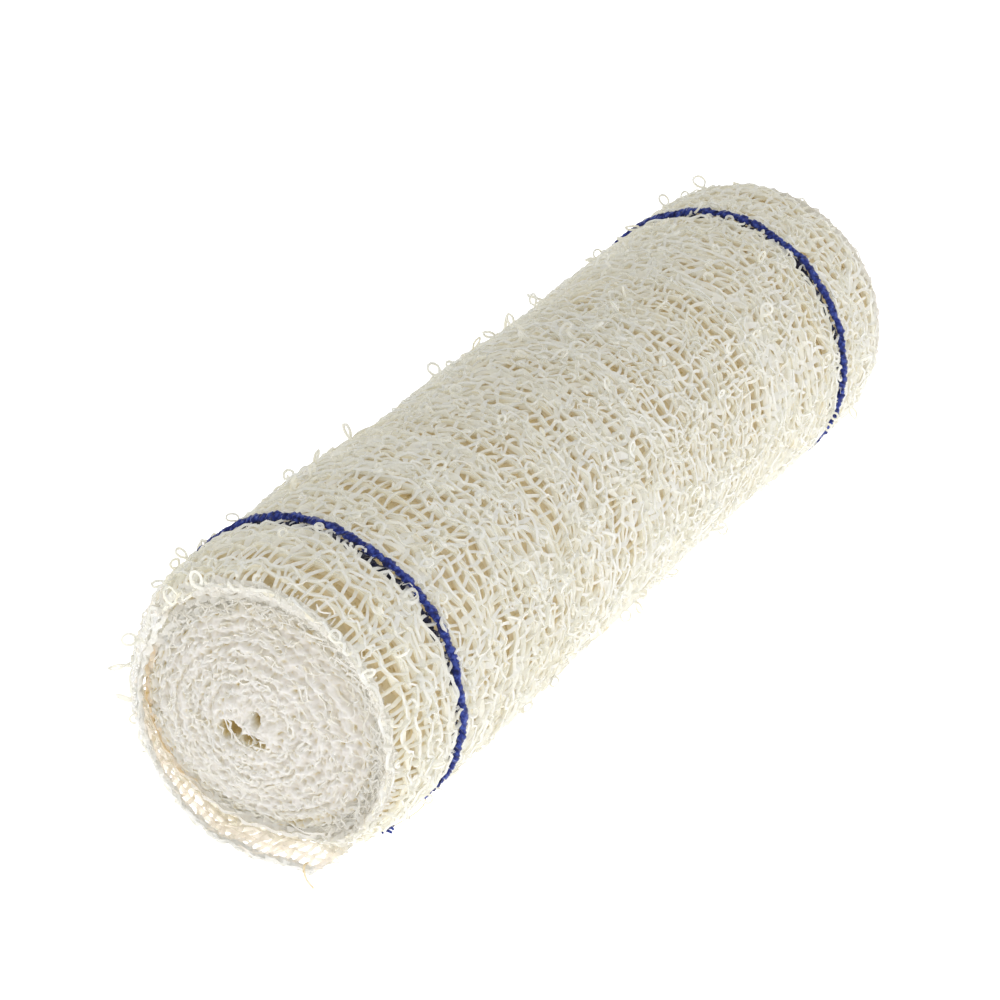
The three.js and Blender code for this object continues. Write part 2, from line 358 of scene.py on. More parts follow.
class ClothForm:
    """The outermost strip of cloth as a grid of points: round the roll, then the loose turn and its tail."""

    REACH = 78.0
    ACROSS_STEP = 0.5
    ROUND_COLUMNS = 241
    LOOSE_COLUMNS = 90
    BODY_ROWS = 60
    SELVEDGE_ROW = 2
    EDGE_REACH = 12.0
    SEAM_REACH = 4.0
    SEAM_ROUNDS = 60
    COLUMN_ROUNDS = 3

    def __init__(self, roll: RollForm) -> None:
        """Lays the grid.

        Args:
            roll: The wound form that the strip lies on.
        """
        self.roll = roll
        self.across = np.arange(-self.REACH, self.REACH + 0.01, self.ACROSS_STEP)
        angle = np.linspace(ROOT_ANGLE, ROOT_ANGLE + 360, self.ROUND_COLUMNS)
        wound = self._wound_columns(angle)
        loose = self._loose_columns(np.linspace(0.012, 1, self.LOOSE_COLUMNS))
        points = np.concatenate([wound, loose])
        middle = points[:, len(self.across) // 2]
        self.along = np.concatenate([[0], np.cumsum(np.linalg.norm(np.diff(middle, axis=0), axis=1))])
        self.root = float(self.along[self.ROUND_COLUMNS - 1])
        self.length = float(self.along[-1])
        self.points = self._eased_seam(points)
        self.normals = self._outward(self.points)

    def _wound_columns(self, angle: Array) -> Array:
        """Lays the columns of the strip on the roll, from selvedge to selvedge.

        Args:
            angle: The columns' angles round the axis.

        Returns:
            The columns' points.
        """
        shoulder, places = range(len(SHOULDER)), np.linspace(-BODY_REACH, BODY_REACH, self.BODY_ROWS)
        rows = [self.roll.shoulder(End.NEAR, SHOULDER, row, angle) for row in shoulder]
        rows += [self.roll.body(np.full(angle.shape, x), angle) for x in places]
        rows += [self.roll.shoulder(End.FAR, SHOULDER, row, angle) for row in reversed(shoulder)]
        return np.stack([self._spread(column) for column in np.stack(rows, axis=1)])

    def _spread(self, column: Array) -> Array:
        """Spreads a column's points evenly from its middle to each selvedge and on.

        Args:
            column: Points on the column's line.

        Returns:
            A point for each place across the strip.
        """
        far = np.concatenate([[0], np.cumsum(np.linalg.norm(np.diff(column, axis=0), axis=1))])
        middle = float(np.interp(0, column[:, 0], far))
        past = np.clip(np.abs(self.across) - HALF_WIDTH, 0, None)
        share = np.minimum(np.abs(self.across), HALF_WIDTH) / HALF_WIDTH
        near_edge, far_edge = far[self.SELVEDGE_ROW], far[-1 - self.SELVEDGE_ROW]
        to_near = middle - share * (middle - near_edge) - past
        to_far = middle + share * (far_edge - middle) + past
        at = np.where(self.across < 0, to_near, to_far)
        at = np.clip(at, 0, far[-1])
        line = np.stack([np.interp(at, far, column[:, k]) for k in range(3)], axis=1)
        for _ in range(self.COLUMN_ROUNDS):
            line[1:-1] = 0.25 * line[:-2] + 0.5 * line[1:-1] + 0.25 * line[2:]
        return line

    def _loose_columns(self, share: Array) -> Array:
        """Lays the columns of the loose turn, from its root to the cut end.

        Args:
            share: The columns' places, as shares of the way.

        Returns:
            The columns' points.
        """
        across = np.clip(self.across / HALF_WIDTH, -1, 1)
        past = self.across - HALF_WIDTH * across
        columns = []
        for along in share:
            selvedge = 0.3 + 1.2 * step(along, 0, 0.4) + 0.3 * math.sin(9 * along) ** 2
            x = (HALF_WIDTH - selvedge * step(np.abs(across), 0.9, 1)) * across + past
            columns.append(self._curve(self._section(x), along))
        return np.stack(columns)

    def _section(self, x: Array) -> list[Array]:
        """Places the points that the loose turn's section runs through.

        Args:
            x: Places along the roll.

        Returns:
            The points of one column after another, each at all the places.
        """
        inset = HALF_WIDTH - np.abs(x)
        edge = np.maximum(0, 1 - inset / self.EDGE_REACH)
        tight = SHOULDER[self.SELVEDGE_ROW:][:, [1, 0]]
        curl_in = ROLL_RADIUS - read(tight, 1, inset)
        fuller = np.where(x < 0, END_FULLER[End.NEAR], END_FULLER[End.FAR])
        points = []
        for angle, slack, shoulder, drawn in LOOSE_TURN:
            angle = angle + 0.9 * (angle == ROOT_ANGLE)
            soft = (self.roll.swell(x, angle) + read(GIRTH, 1, x)) * step(inset, 2, 14)
            radius = ROLL_RADIUS + slack + soft - curl_in * shoulder - (drawn - fuller) * edge * edge
            points.append(self.roll.ring(x, radius, angle))
        for y, lift in TAIL:
            points.append(np.stack(np.broadcast_arrays(x, AXIS_Y + y, lift * edge), axis=-1))
        cut = AXIS_Y + read(CUT_END, 1, x) - TAIL_REACH
        points.append(np.stack(np.broadcast_arrays(x, cut, 0.0), axis=-1))
        return points

    @staticmethod
    def _curve(points: list[Array], share: float) -> Array:
        """Reads a smooth curve through points.

        Args:
            points: The points, each at all places along the roll.
            share: Share of the curve's spans.

        Returns:
            The curve's points there.
        """
        spans = len(points) - 1
        span = min(int(share * spans), spans - 1)
        t = share * spans - span
        first = points[span - 1] if span > 0 else 2 * points[0] - points[1]
        last = points[span + 2] if span + 2 <= spans else 2 * points[-1] - points[-2]
        a, b = points[span], points[span + 1]
        pairs = ((first, a), (a, b), (b, last))
        gap = [np.maximum(np.linalg.norm(q - p, axis=-1, keepdims=True) ** 0.5, 1e-4) for p, q in pairs]
        out = (a - first) / gap[0] - (b - first) / (gap[0] + gap[1]) + (b - a) / gap[1]
        into = (b - a) / gap[1] - (last - a) / (gap[1] + gap[2]) + (last - b) / gap[2]
        out, into = out * gap[1], into * gap[1]
        return a + t * out + t * t * (-3 * a + 3 * b - 2 * out - into) + t ** 3 * (2 * a - 2 * b + out + into)

    def _eased_seam(self, points: Array) -> Array:
        """Smooths out the step in the grid at the loose turn's root.

        Args:
            points: The grid.

        Returns:
            The smoothed grid.
        """
        near = hump(self.along, self.root, self.SEAM_REACH)[1:-1, None, None]
        for _ in range(self.SEAM_ROUNDS):
            mean = 0.5 * (points[:-2] + points[2:])
            points[1:-1] += near * 0.5 * (mean - points[1:-1])
        return points

    @staticmethod
    def _outward(points: Array) -> Array:
        """Works out which way the cloth faces.

        Args:
            points: The grid.

        Returns:
            The grid's outward unit normals.
        """
        down, over = np.gradient(points, axis=0), np.gradient(points, axis=1)
        normal = np.cross(over, down)
        normal /= np.maximum(np.linalg.norm(normal, axis=-1, keepdims=True), 1e-9)
        return normal

    def place(self, along: Values, across: Values, height: Values = 0.0) -> Array:
        """Returns the points at cloth coordinates.

        Args:
            along: Distance down the strip.
            across: Distance across it from its middle.
            height: Distance off its outer face.

        Returns:
            An array of points.
        """
        along, across, height = np.broadcast_arrays(along, across, height)
        row = np.clip(np.interp(along, self.along, np.arange(len(self.along))), 0, len(self.along) - 1.001)
        column = np.clip((across + self.REACH) / self.ACROSS_STEP, 0, len(self.across) - 1.001)
        i, j = row.astype(int), column.astype(int)
        a, b = (row - i)[..., None], (column - j)[..., None]

        def mixed(grid: Array) -> Array:
            """Returns a grid's values there."""
            left, right = (grid[i, k] * (1 - a) + grid[i + 1, k] * a for k in (j, j + 1))
            return left * (1 - b) + right * b

        return mixed(self.points) + mixed(self.normals) * height[..., None]

    def angle_at(self, along: Values) -> Values:
        """Returns the angle round the roll at a distance down its wound part."""
        return ROOT_ANGLE + 360 * np.asarray(along) / self.root

    def along_at(self, angle: float) -> float:
        """Returns the distance down the wound part at an angle from the root's to 360 past it."""
        return (angle - ROOT_ANGLE) / 360 * self.root


class YarnBatch:
    """Threads that are swept together into one mesh."""

    TABLE_GAP = 0.02

    def __init__(self) -> None:
        """Starts with no threads."""
        self.lines: list[Array] = []
        self.radii: list[Array] = []
        self.tints: list[Array] = []

    def add(self, line: Array, radius: Values, tint: Values, smooth: bool = False) -> None:
        """Adds a thread.

        Args:
            line: Points down its middle.
            radius: Its radius, or one for each point.
            tint: Its shade from 0, tan, to 1, white, or one for each point.
            smooth: Whether it gets one more point between each two.
        """
        count = len(line)
        radius = np.broadcast_to(np.asarray(radius, float), (count,))
        tint = np.broadcast_to(np.asarray(tint, float), (count,))
        if smooth:
            rows = eased(np.column_stack([line, radius, tint]))
            line, radius, tint = rows[:, :3], rows[:, 3], rows[:, 4]
        line = np.array(line, float)
        line[:, 2] = np.maximum(line[:, 2], radius + self.TABLE_GAP)
        self.lines.append(line)
        self.radii.append(radius)
        self.tints.append(tint)

    def build(self, name: str, sides: int, smooth: bool = False) -> bpy.types.Object:
        """Sweeps the threads into a mesh.

        Args:
            name: Name of the piece.
            sides: How many sides a thread has.
            smooth: Whether its sides are shaded as one round. Three sides look darker so than they are.

        Returns:
            The mesh object, with the threads' shades in its attribute "tint".
        """
        section = self._section(sides)
        curve = bpy.data.curves.new(name + "_lines", "CURVE")
        curve.dimensions = "3D"
        curve.bevel_mode = "OBJECT"
        curve.bevel_object = section
        for line, radius in zip(self.lines, self.radii):
            spline = curve.splines.new("POLY")
            spline.points.add(len(line) - 1)
            places = np.ones((len(line), 4), np.float32)
            places[:, :3] = line * MM
            spline.points.foreach_set("co", places.ravel())
            spline.points.foreach_set("radius", (radius * MM).astype(np.float32))
        lines = place_piece(name + "_lines", curve)
        graph = bpy.context.evaluated_depsgraph_get()
        graph.update()
        mesh = bpy.data.meshes.new_from_object(lines.evaluated_get(graph), depsgraph=graph)
        mesh.name = name
        for spent in (lines, section):
            data = spent.data
            bpy.data.objects.remove(spent)
            bpy.data.curves.remove(data)
        shade = np.repeat(np.concatenate(self.tints), sides).astype(np.float32)
        attribute = mesh.attributes.new(TINT, "FLOAT", "POINT")
        attribute.data.foreach_set("value", shade)
        work = bmesh.new()
        work.from_mesh(mesh)
        bmesh.ops.holes_fill(work, edges=[edge for edge in work.edges if edge.is_boundary], sides=sides)
        bmesh.ops.recalc_face_normals(work, faces=work.faces)
        work.to_mesh(mesh)
        work.free()
        mesh.polygons.foreach_set("use_smooth", np.full(len(mesh.polygons), smooth))
        mesh.materials.clear()
        return place_piece(name, mesh)

    @staticmethod
    def _section(sides: int) -> bpy.types.Object:
        """Draws the section of a thread, with a radius of one.

        Args:
            sides: How many sides it has.

        Returns:
            The closed outline's object.
        """
        outline = bpy.data.curves.new("thread_section", "CURVE")
        outline.dimensions = "2D"
        spline = outline.splines.new("POLY")
        spline.points.add(sides - 1)
        for index, point in enumerate(spline.points):
            turn = 2 * math.pi * index / sides
            point.co = (math.cos(turn), math.sin(turn), 0, 1)
        spline.use_cyclic_u = True
        return place_piece("thread_section", outline)


class CrepeWeave:
    """Where the strip's bands of warp and its weft threads cross, in cloth coordinates."""

    BAND_PITCH = 2.031
    LAST_BAND = 73.2
    EDGE_BAND = 74.3
    WEFT_PITCH = 1.2
    CALM_REACH = 3.0
    OPEN_CHANCE = 0.72

    # Where the bands stand apart: their middle, how far they are pushed, and over what width
    LADDERS = ((-26.0, 0.95, 1.9), (-46.5, 0.45, 1.7), (-68.5, 0.5, 1.6), (31.0, 0.45, 1.9), (8.0, 0.35, 2.0))

    def __init__(self, cloth: ClothForm) -> None:
        """Works out the crossings.

        Args:
            cloth: The strip that is woven.
        """
        self.cloth = cloth
        half = int(self.LAST_BAND / self.BAND_PITCH)
        self.band = np.arange(-half, half + 1) * self.BAND_PITCH
        self.band[[0, -1]] = -self.EDGE_BAND, self.EDGE_BAND
        self.blue = [int(np.argmin(np.abs(self.band - at))) for at in (-BLUE_AT, BLUE_AT)]
        self.plain = [band for band in range(len(self.band)) if band not in self.blue]
        self.weft = np.arange(0, cloth.length, self.WEFT_PITCH)
        across, along = np.meshgrid(self.band, self.weft, indexing="ij")
        rng = np.random.default_rng(21)
        calm = 1 - 0.7 * hump(np.abs(across), BLUE_AT, self.CALM_REACH)
        edge = step(HALF_WIDTH - np.abs(across), 0.5, 5)
        wide, close, drift = Waves(3, 9, 45), Waves(4, 3.5, 11), Waves(5, 10, 50)
        sway = 0.5 * wide.over(along, across) + 0.22 * close.over(along, across)
        self.across = across + calm * edge * sway
        self.across += calm * rng.normal(0, 0.09, across.shape)
        for middle, push, reach in self.LADDERS:
            off = self._off_ladder(across, along, middle) / reach
            self.across += push * np.tanh(off * 2) * np.exp(-off * off / 2)
        own = Waves(6, 3.0, 9)
        number = np.arange(len(self.weft))[None, :]
        self.along = along + 0.7 * drift.over(along, across) + 0.3 * own.down(across, number)
        self.along += rng.normal(0, 0.1, along.shape)
        self.along = np.clip(self.along, 0.15, cloth.length - 0.1 - 0.4 * rng.random(self.along.shape))
        self.over = np.where(np.add.outer(np.arange(len(self.band)), number[0]) % 2, 1.0, -1.0)
        self.open = self._openings(rng)
        left = np.pad(self.open, ((1, 0), (0, 0)))
        right = np.pad(self.open, ((0, 1), (0, 0)))
        either = [side + np.pad(side, ((0, 0), (1, 0)))[:, :-1] for side in (left, right)]
        self.across = self.across + 0.1 * (either[0] - either[1])
        self.pinch = 1 - 0.13 * np.minimum(either[0] + either[1], 2.5)

    def _openings(self, rng: np.random.Generator) -> Array:
        """Opens cells between two bands and two weft threads.

        Args:
            rng: Where the openings are drawn.

        Returns:
            How far each cell stands open, from 0, filled, to 1.
        """
        across = 0.5 * (self.band[:-1] + self.band[1:])[:, None]
        along = (self.weft + 0.5 * self.WEFT_PITCH)[None, :]
        patchy = Waves(8, 14, 60)
        chance = self.OPEN_CHANCE + 0.14 * patchy.over(along, across)
        for middle, push, reach in self.LADDERS:
            off = self._off_ladder(across, along, middle)
            chance = chance + (0.3 + 0.5 * push) * hump(off, 0, 0.7 * reach)
        chance = chance - 0.25 * hump(np.abs(across), BLUE_AT, 1.2)
        chance = chance + 0.6 * hump(across, -BLUE_AT - 1.0, 0.7)
        chance = chance + 0.4 * hump(np.abs(across), self.LAST_BAND - 0.5, 0.8)
        return (rng.random(chance.shape) < chance) * rng.uniform(0.6, 1.0, chance.shape)

    @staticmethod
    def _off_ladder(across: Array, along: Array, middle: float) -> Array:
        """Returns how far places lie across the strip from a ladder, which wanders a little."""
        return across - middle - 0.9 * np.sin(along / 17 + middle)

    def rows(self, start: float, stop: float) -> Array:
        """Returns the numbers of the weft threads between two distances down the strip."""
        return np.nonzero((self.weft >= start) & (self.weft <= stop))[0]


@dataclass
class Depths:
    """How a net lies in the cloth's thickness, in millimetres off its outer face."""

    middle: float = -0.5
    crossing: float = 0.15


@dataclass
class NetMaker:
    """Lays the threads of a stretch of the strip."""

    weave: CrepeWeave
    start: float
    stop: float
    depths: Depths = field(default_factory=Depths)

    # A band of warp: the radius of its plies, their number, and how far each lies from the band's middle
    band_radius: float = 0.42
    plies: int = 2
    apart: float = 0.33

    # The strand on a band: its radius, its points' distance, how far it swings and how far out it lies
    strand_radius: float = 0.2
    strand_step: float = 1.0
    strand_swing: float = 0.55
    strand_proud: float = 0.5

    # A weft thread: its radius on a band, and its least and its usual radius between two bands
    weft_radius: float = 0.3
    weft_least: float = 0.17
    fill: float = 0.66

    # How white the net is, the seed of its draws, and whether each thread or only some are laid, and smoothly
    tint: float = 0.72
    seed: int = 1
    skip: int = 1
    smooth: bool = True

    # Shortest and longest turn of the plies round each other, and of the strand from side to side
    ply_turn: tuple[float, float] = (5.5, 9)
    strand_turn: tuple[float, float] = (3.6, 5.6)

    def bands(self, batch: YarnBatch) -> None:
        """Lays the soft plies of each band of warp, turned round each other.

        Args:
            batch: The threads that they join.
        """
        weave, rows = self.weave, self.weave.rows(self.start, self.stop)[:: self.skip]
        place = weave.weft[rows]
        lane, bulk, pace = Waves(33, 4, 14), Waves(34, 2.4, 6), Waves(36, 5, 14)
        for band in weave.plain:
            rng = np.random.default_rng((self.seed, band, 1))
            across = weave.across[band, rows] + 0.12 * lane.down(place, band + 0.7)
            height = self.depths.middle + self.depths.crossing * weave.over[band, rows]
            height = height + rng.normal(0, 0.04, len(rows))
            along = weave.along[band, rows] + rng.normal(0, 0.1, len(rows))
            turn = rng.uniform(0, 2 * math.pi) + 2 * math.pi * place / rng.uniform(*self.ply_turn)
            turn = turn + 0.7 * pace.down(place, band)
            pinch = weave.pinch[band, rows]
            for ply in range(self.plies):
                phase = turn + 2 * math.pi * ply / self.plies
                apart = self.apart * (self.plies > 1)
                thick = np.clip(1 + 0.2 * bulk.down(place, band + 0.9 + ply), 0.5, 1.4)
                radius = self.band_radius * thick * pinch
                aside, raised = apart * np.cos(phase) * pinch, 0.45 * apart * np.sin(phase)
                line = weave.cloth.place(along, across + aside, height + raised)
                # Painted light and shade: a ply is whiter where it lies higher
                shade = self.tint - 0.06 + 0.2 * raised + rng.normal(0, 0.05)
                batch.add(line, radius, shade, smooth=self.smooth)

    def strand_lines(self, batch: YarnBatch) -> None:
        """Lays the kinked strand on each band, which swings from one side of it to the other.

        Args:
            batch: The threads that they join.
        """
        weave = self.weave
        place = np.arange(self.start, self.stop, self.strand_step)
        lane, lift, pace = Waves(31, 3.0, 9), Waves(32, 2.4, 7), Waves(35, 4.0, 10.0)
        for band in weave.plain:
            rng = np.random.default_rng((self.seed, band))
            across = np.interp(place, weave.weft, weave.across[band])
            along = np.interp(place, weave.weft, weave.along[band])
            over = np.interp(place, weave.weft, weave.over[band])
            phase = rng.uniform(0, 2 * math.pi) + 2 * math.pi * place / rng.uniform(*self.strand_turn)
            phase = phase + 0.9 * pace.down(place, band + 0.4)
            swing = self.strand_swing + 0.14 * pace.down(place, band + 5.4)
            aside = swing * np.cos(phase) + 0.1 * lane.down(place, band)
            above = self.depths.middle + self.strand_proud
            height = above + self.depths.crossing * over
            height = height - 0.05 + 0.12 * np.sin(2 * phase) + 0.1 * lift.down(place, band)
            down = along + 0.3 * np.sin(phase * 2 + 1)
            line = weave.cloth.place(down, across + aside, height)
            # Painted light and shade: the strand is whiter where it lies higher
            shade = self.tint + 0.18 + 0.3 * (height - above) + rng.normal(0, 0.04)
            batch.add(line, self.strand_radius * rng.uniform(0.8, 1.2), shade, smooth=True)

    def weft_threads(self, batch: YarnBatch) -> None:
        """Lays the weft threads, over one band and under the next.

        Args:
            batch: The threads that they join.
        """
        weave = self.weave
        belly = Waves(41, 2.2, 6)
        for row in weave.rows(self.start, self.stop)[:: self.skip]:
            rng = np.random.default_rng((self.seed, 7, row))
            across, along = weave.across[:, row], weave.along[:, row]
            height = self.depths.middle + 0.05 - self.depths.crossing * 1.6 * weave.over[:, row]
            between = 0.5 * (across[:-1] + across[1:])
            past, ahead = weave.open[:, max(row - 1, 0)], weave.open[:, row]
            down = 0.5 * (along[:-1] + along[1:]) + 0.1 * belly.down(between, row)
            down = down + 0.3 * (past - ahead)
            level = 0.5 * (height[:-1] + height[1:]) + 0.05 * rng.normal(size=len(between))
            level = level + (past + ahead) * 0.08
            filled = self.fill * (1 - 0.42 * (past + ahead) ** 0.8) * rng.uniform(0.85, 1.15, len(between))
            count = 2 * len(across) - 1
            line = np.zeros((4, count))
            width = np.maximum(filled, self.weft_least)
            pairs = ((along, down), (across, between), (height, level), (self.weft_radius, width))
            for index, (at, mid) in enumerate(pairs):
                line[index, 0::2], line[index, 1::2] = at, mid
            # Painted light and shade: the weft is whiter where it lies higher in the cloth and tanner in its
            # depth
            shade = self.tint + 0.05 + 0.3 * (line[2] - self.depths.middle) + rng.normal(0, 0.06)
            batch.add(weave.cloth.place(*line[:3]), line[3], shade, smooth=self.smooth)


@dataclass
class SnarlMaker:
    """Lays the little rings that the hard-twisted warp throws up where it is slack."""

    weave: CrepeWeave
    count: int = 1000
    start: float = 44.0
    seed: int = 5
    smallest: float = 0.5
    largest: float = 0.95
    radius: float = 0.21
    whole_sweep: float = 335.0
    whole_thicker: float = 1.3
    standing_thicker: float = 1.25

    # Place across the strip, angle round the roll, radius and height of the rings on the near marker thread
    placed: tuple[tuple[float, float, float, float], ...] = (
        (-58.5, 27, 0.8, 0.5), (-60.4, 42, 0.95, 0.2), (-58.2, 15, 0.55, 0.45), (-60.1, 84, 0.5, 0.4),
        (-60.6, 4, 0.6, 0.1),
    )

    # Place across the strip, angle round the roll and radius of the rings that stand off the outline
    standing: tuple[tuple[float, float, float], ...] = (
        (-30, 122, 0.9), (-50, 112, 0.85), (-72.6, 524, 0.95), (-73, 535, 1.1), (-72.8, 552, 1.0),
        (-8, 118, 0.9), (14, 121, 0.8), (63, 118, 0.9), (71, 112, 1.0), (-66, 131, 0.8),
    )

    def lay(self, batch: YarnBatch) -> None:
        """Lays two rings of three flat in openings, the others on the bands, and then the placed ones.

        Args:
            batch: The threads that they join.
        """
        weave, rng = self.weave, np.random.default_rng(self.seed)
        rows = weave.rows(self.start, weave.cloth.length - 0.5)
        for number in range(self.count):
            lying = number % 3 < 2
            band, row = rng.integers(0, len(weave.band) - 1), rng.choice(rows)
            while lying and weave.open[band, row] == 0:
                band, row = rng.integers(0, len(weave.band) - 1), rng.choice(rows)
            along, across = weave.along[band, row], weave.across[band, row]
            if lying:
                along = along + 0.5 * weave.WEFT_PITCH
                across = 0.5 * (across + weave.across[band + 1, row])
            size = self.smallest + (self.largest - self.smallest) * rng.random() ** 1.4
            along, across = along + rng.normal(0, 0.15), across + rng.normal(0, 0.15)
            if lying:
                self._lying(batch, rng, along, across, size, rng.uniform(150, 320), rng.uniform(-0.05, 0.18))
            else:
                self._standing(batch, rng, along, across, size, rng.uniform(12, 75))
        cloth = weave.cloth
        for across, angle, size, proud in self.placed:
            self._lying(batch, rng, cloth.along_at(angle + 360), across, size, self.whole_sweep, proud)
        for across, angle, size in self.standing:
            along = cloth.along_at(angle + 360 * (angle < ROOT_ANGLE))
            self._standing(batch, rng, along, across, size, rng.uniform(60, 85), self.standing_thicker)

    def _lying(
        self, batch: YarnBatch, rng: np.random.Generator, along: float, across: float, size: float,
        sweep: float, proud: float,
    ) -> None:
        """Lays one ring flat.

        Args:
            batch: The threads that it joins.
            rng: Where its unevenness is drawn.
            along: Its middle's distance down the strip.
            across: Its middle's distance across the strip.
            size: Its radius.
            sweep: How many degrees of a full ring it has.
            proud: How far it lies off the cloth.
        """
        facing = rng.uniform(0, 2 * math.pi)
        turn = np.radians(np.linspace(0, sweep, 12)) + facing
        reach = size * (1 + 0.12 * rng.normal() * np.cos(2 * turn) + 0.04 * rng.normal(size=12))
        height = proud + 0.16 * np.cos(turn - facing + rng.uniform(0, 6))
        height[[0, -1]] -= 0.3
        line = self.weave.cloth.place(along + reach * np.cos(turn), across + reach * np.sin(turn), height)
        whole = sweep >= self.whole_sweep
        radius = self.radius * rng.uniform(0.85, 1.15) * (self.whole_thicker if whole else 1.0)
        batch.add(line, radius, 0.84 + rng.normal(0, 0.06), smooth=whole)

    def _standing(
        self, batch: YarnBatch, rng: np.random.Generator, along: float, across: float, size: float,
        lean: float, thick: float = 1.0,
    ) -> None:
        """Lays one ring on its crossed stem.

        Args:
            batch: The threads that it joins.
            rng: Where its facing and twist are drawn.
            along: Its foot's distance down the strip.
            across: Its foot's distance across the strip.
            size: Its radius.
            lean: How many degrees it stands off the cloth.
            thick: How much thicker than the others its thread is.
        """
        lean, facing = math.radians(lean), rng.uniform(0, 2 * math.pi)
        wring, stem = rng.uniform(-0.5, 0.5), size * rng.uniform(0.3, 0.9)
        turn = np.radians(np.linspace(-150, 150, 10))
        side = np.concatenate([[0.55, 0.3], np.sin(turn) * rng.uniform(0.75, 1), [-0.3, -0.55]]) * size
        rise = np.concatenate([[-0.25, 0.1], stem + size * (1 + np.cos(turn)), [0.1, -0.25]])
        share = np.linspace(0, 1, len(side))
        out = wring * 0.5 * size * np.sin(2 * math.pi * share) + 0.12 * np.cos(math.pi * share)
        height = rise * math.sin(lean) + out * math.cos(lean) - 0.1
        reach = rise * math.cos(lean) - out * math.sin(lean)
        down = along + reach * math.cos(facing) - side * math.sin(facing)
        over = across + reach * math.sin(facing) + side * math.cos(facing)
        line = self.weave.cloth.place(down, over, height)
        batch.add(line, self.radius * thick * rng.uniform(0.85, 1.15), 0.88 + rng.normal(0, 0.06))


@dataclass
class MarkerThread:
    """A blue marker thread of three plies, which runs down the strip and sinks in it on the underside."""

    weave: CrepeWeave
    band: int
    stop: float

    # Radius of a ply, how far it lies from the thread's middle, and how long its turn round it is
    ply: float = 0.34
    spread: float = 0.3
    lay: float = 1.7

    # How far the thread lies off the cloth's face and beside its band, where it starts, its points' distance
    height: float = 0.02
    shift: float = 0.0
    start: float = 40.0
    pace: float = 0.3
    plies: int = 3

    # How deep it sinks, and the angles between which it rises from there
    sinks: float = 0.55
    risen: tuple[float, float] = (300, 335)

    def run(self, batch: YarnBatch) -> None:
        """Lays its plies.

        Args:
            batch: The threads that they join.
        """
        weave = self.weave
        place = np.arange(self.start, self.stop, self.pace)
        across = np.interp(place, weave.weft, weave.across[self.band]) + self.shift
        knots, sway = Waves(51, 1.2, 3.5), Waves(52, 5, 14)
        across = across + 0.12 * sway.down(place, self.band)
        sunk = 1 - step(weave.cloth.angle_at(place), *self.risen)
        for ply in range(self.plies):
            phase = 2 * math.pi * (place / self.lay + ply / self.plies)
            phase = phase + 0.6 * sway.down(place, self.band + 0.5)
            swell = np.clip(1 + 0.3 * knots.down(place, self.band + ply * 0.1), 0.55, 1.6)
            aside = self.spread * swell * np.cos(phase)
            height = self.height - self.sinks * sunk + self.spread * 0.8 * np.sin(phase)
            line = weave.cloth.place(place, across + aside, height + 0.07 * knots.down(place, ply))
            radius = self.ply * (1 - 0.35 * sunk) * swell
            batch.add(line, radius, 0.5 + 0.25 * knots.down(place, ply + 9.0))


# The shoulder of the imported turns, under the net, with the columns of SHOULDER
PACKED_SHOULDER = table(
    (16.4, 3.9, 15.9, 3.9), (16.7, 3.3, 16.1, 4.6), (17.1, 3.0, 16.3, 5.6), (17.6, 3.4, 16.6, 7.2),
    (18.1, 5.0, 17.1, 9.0), (18.6, 7.4, 17.5, 11.2), (19.0, 10.0, 17.9, 13.8),
)


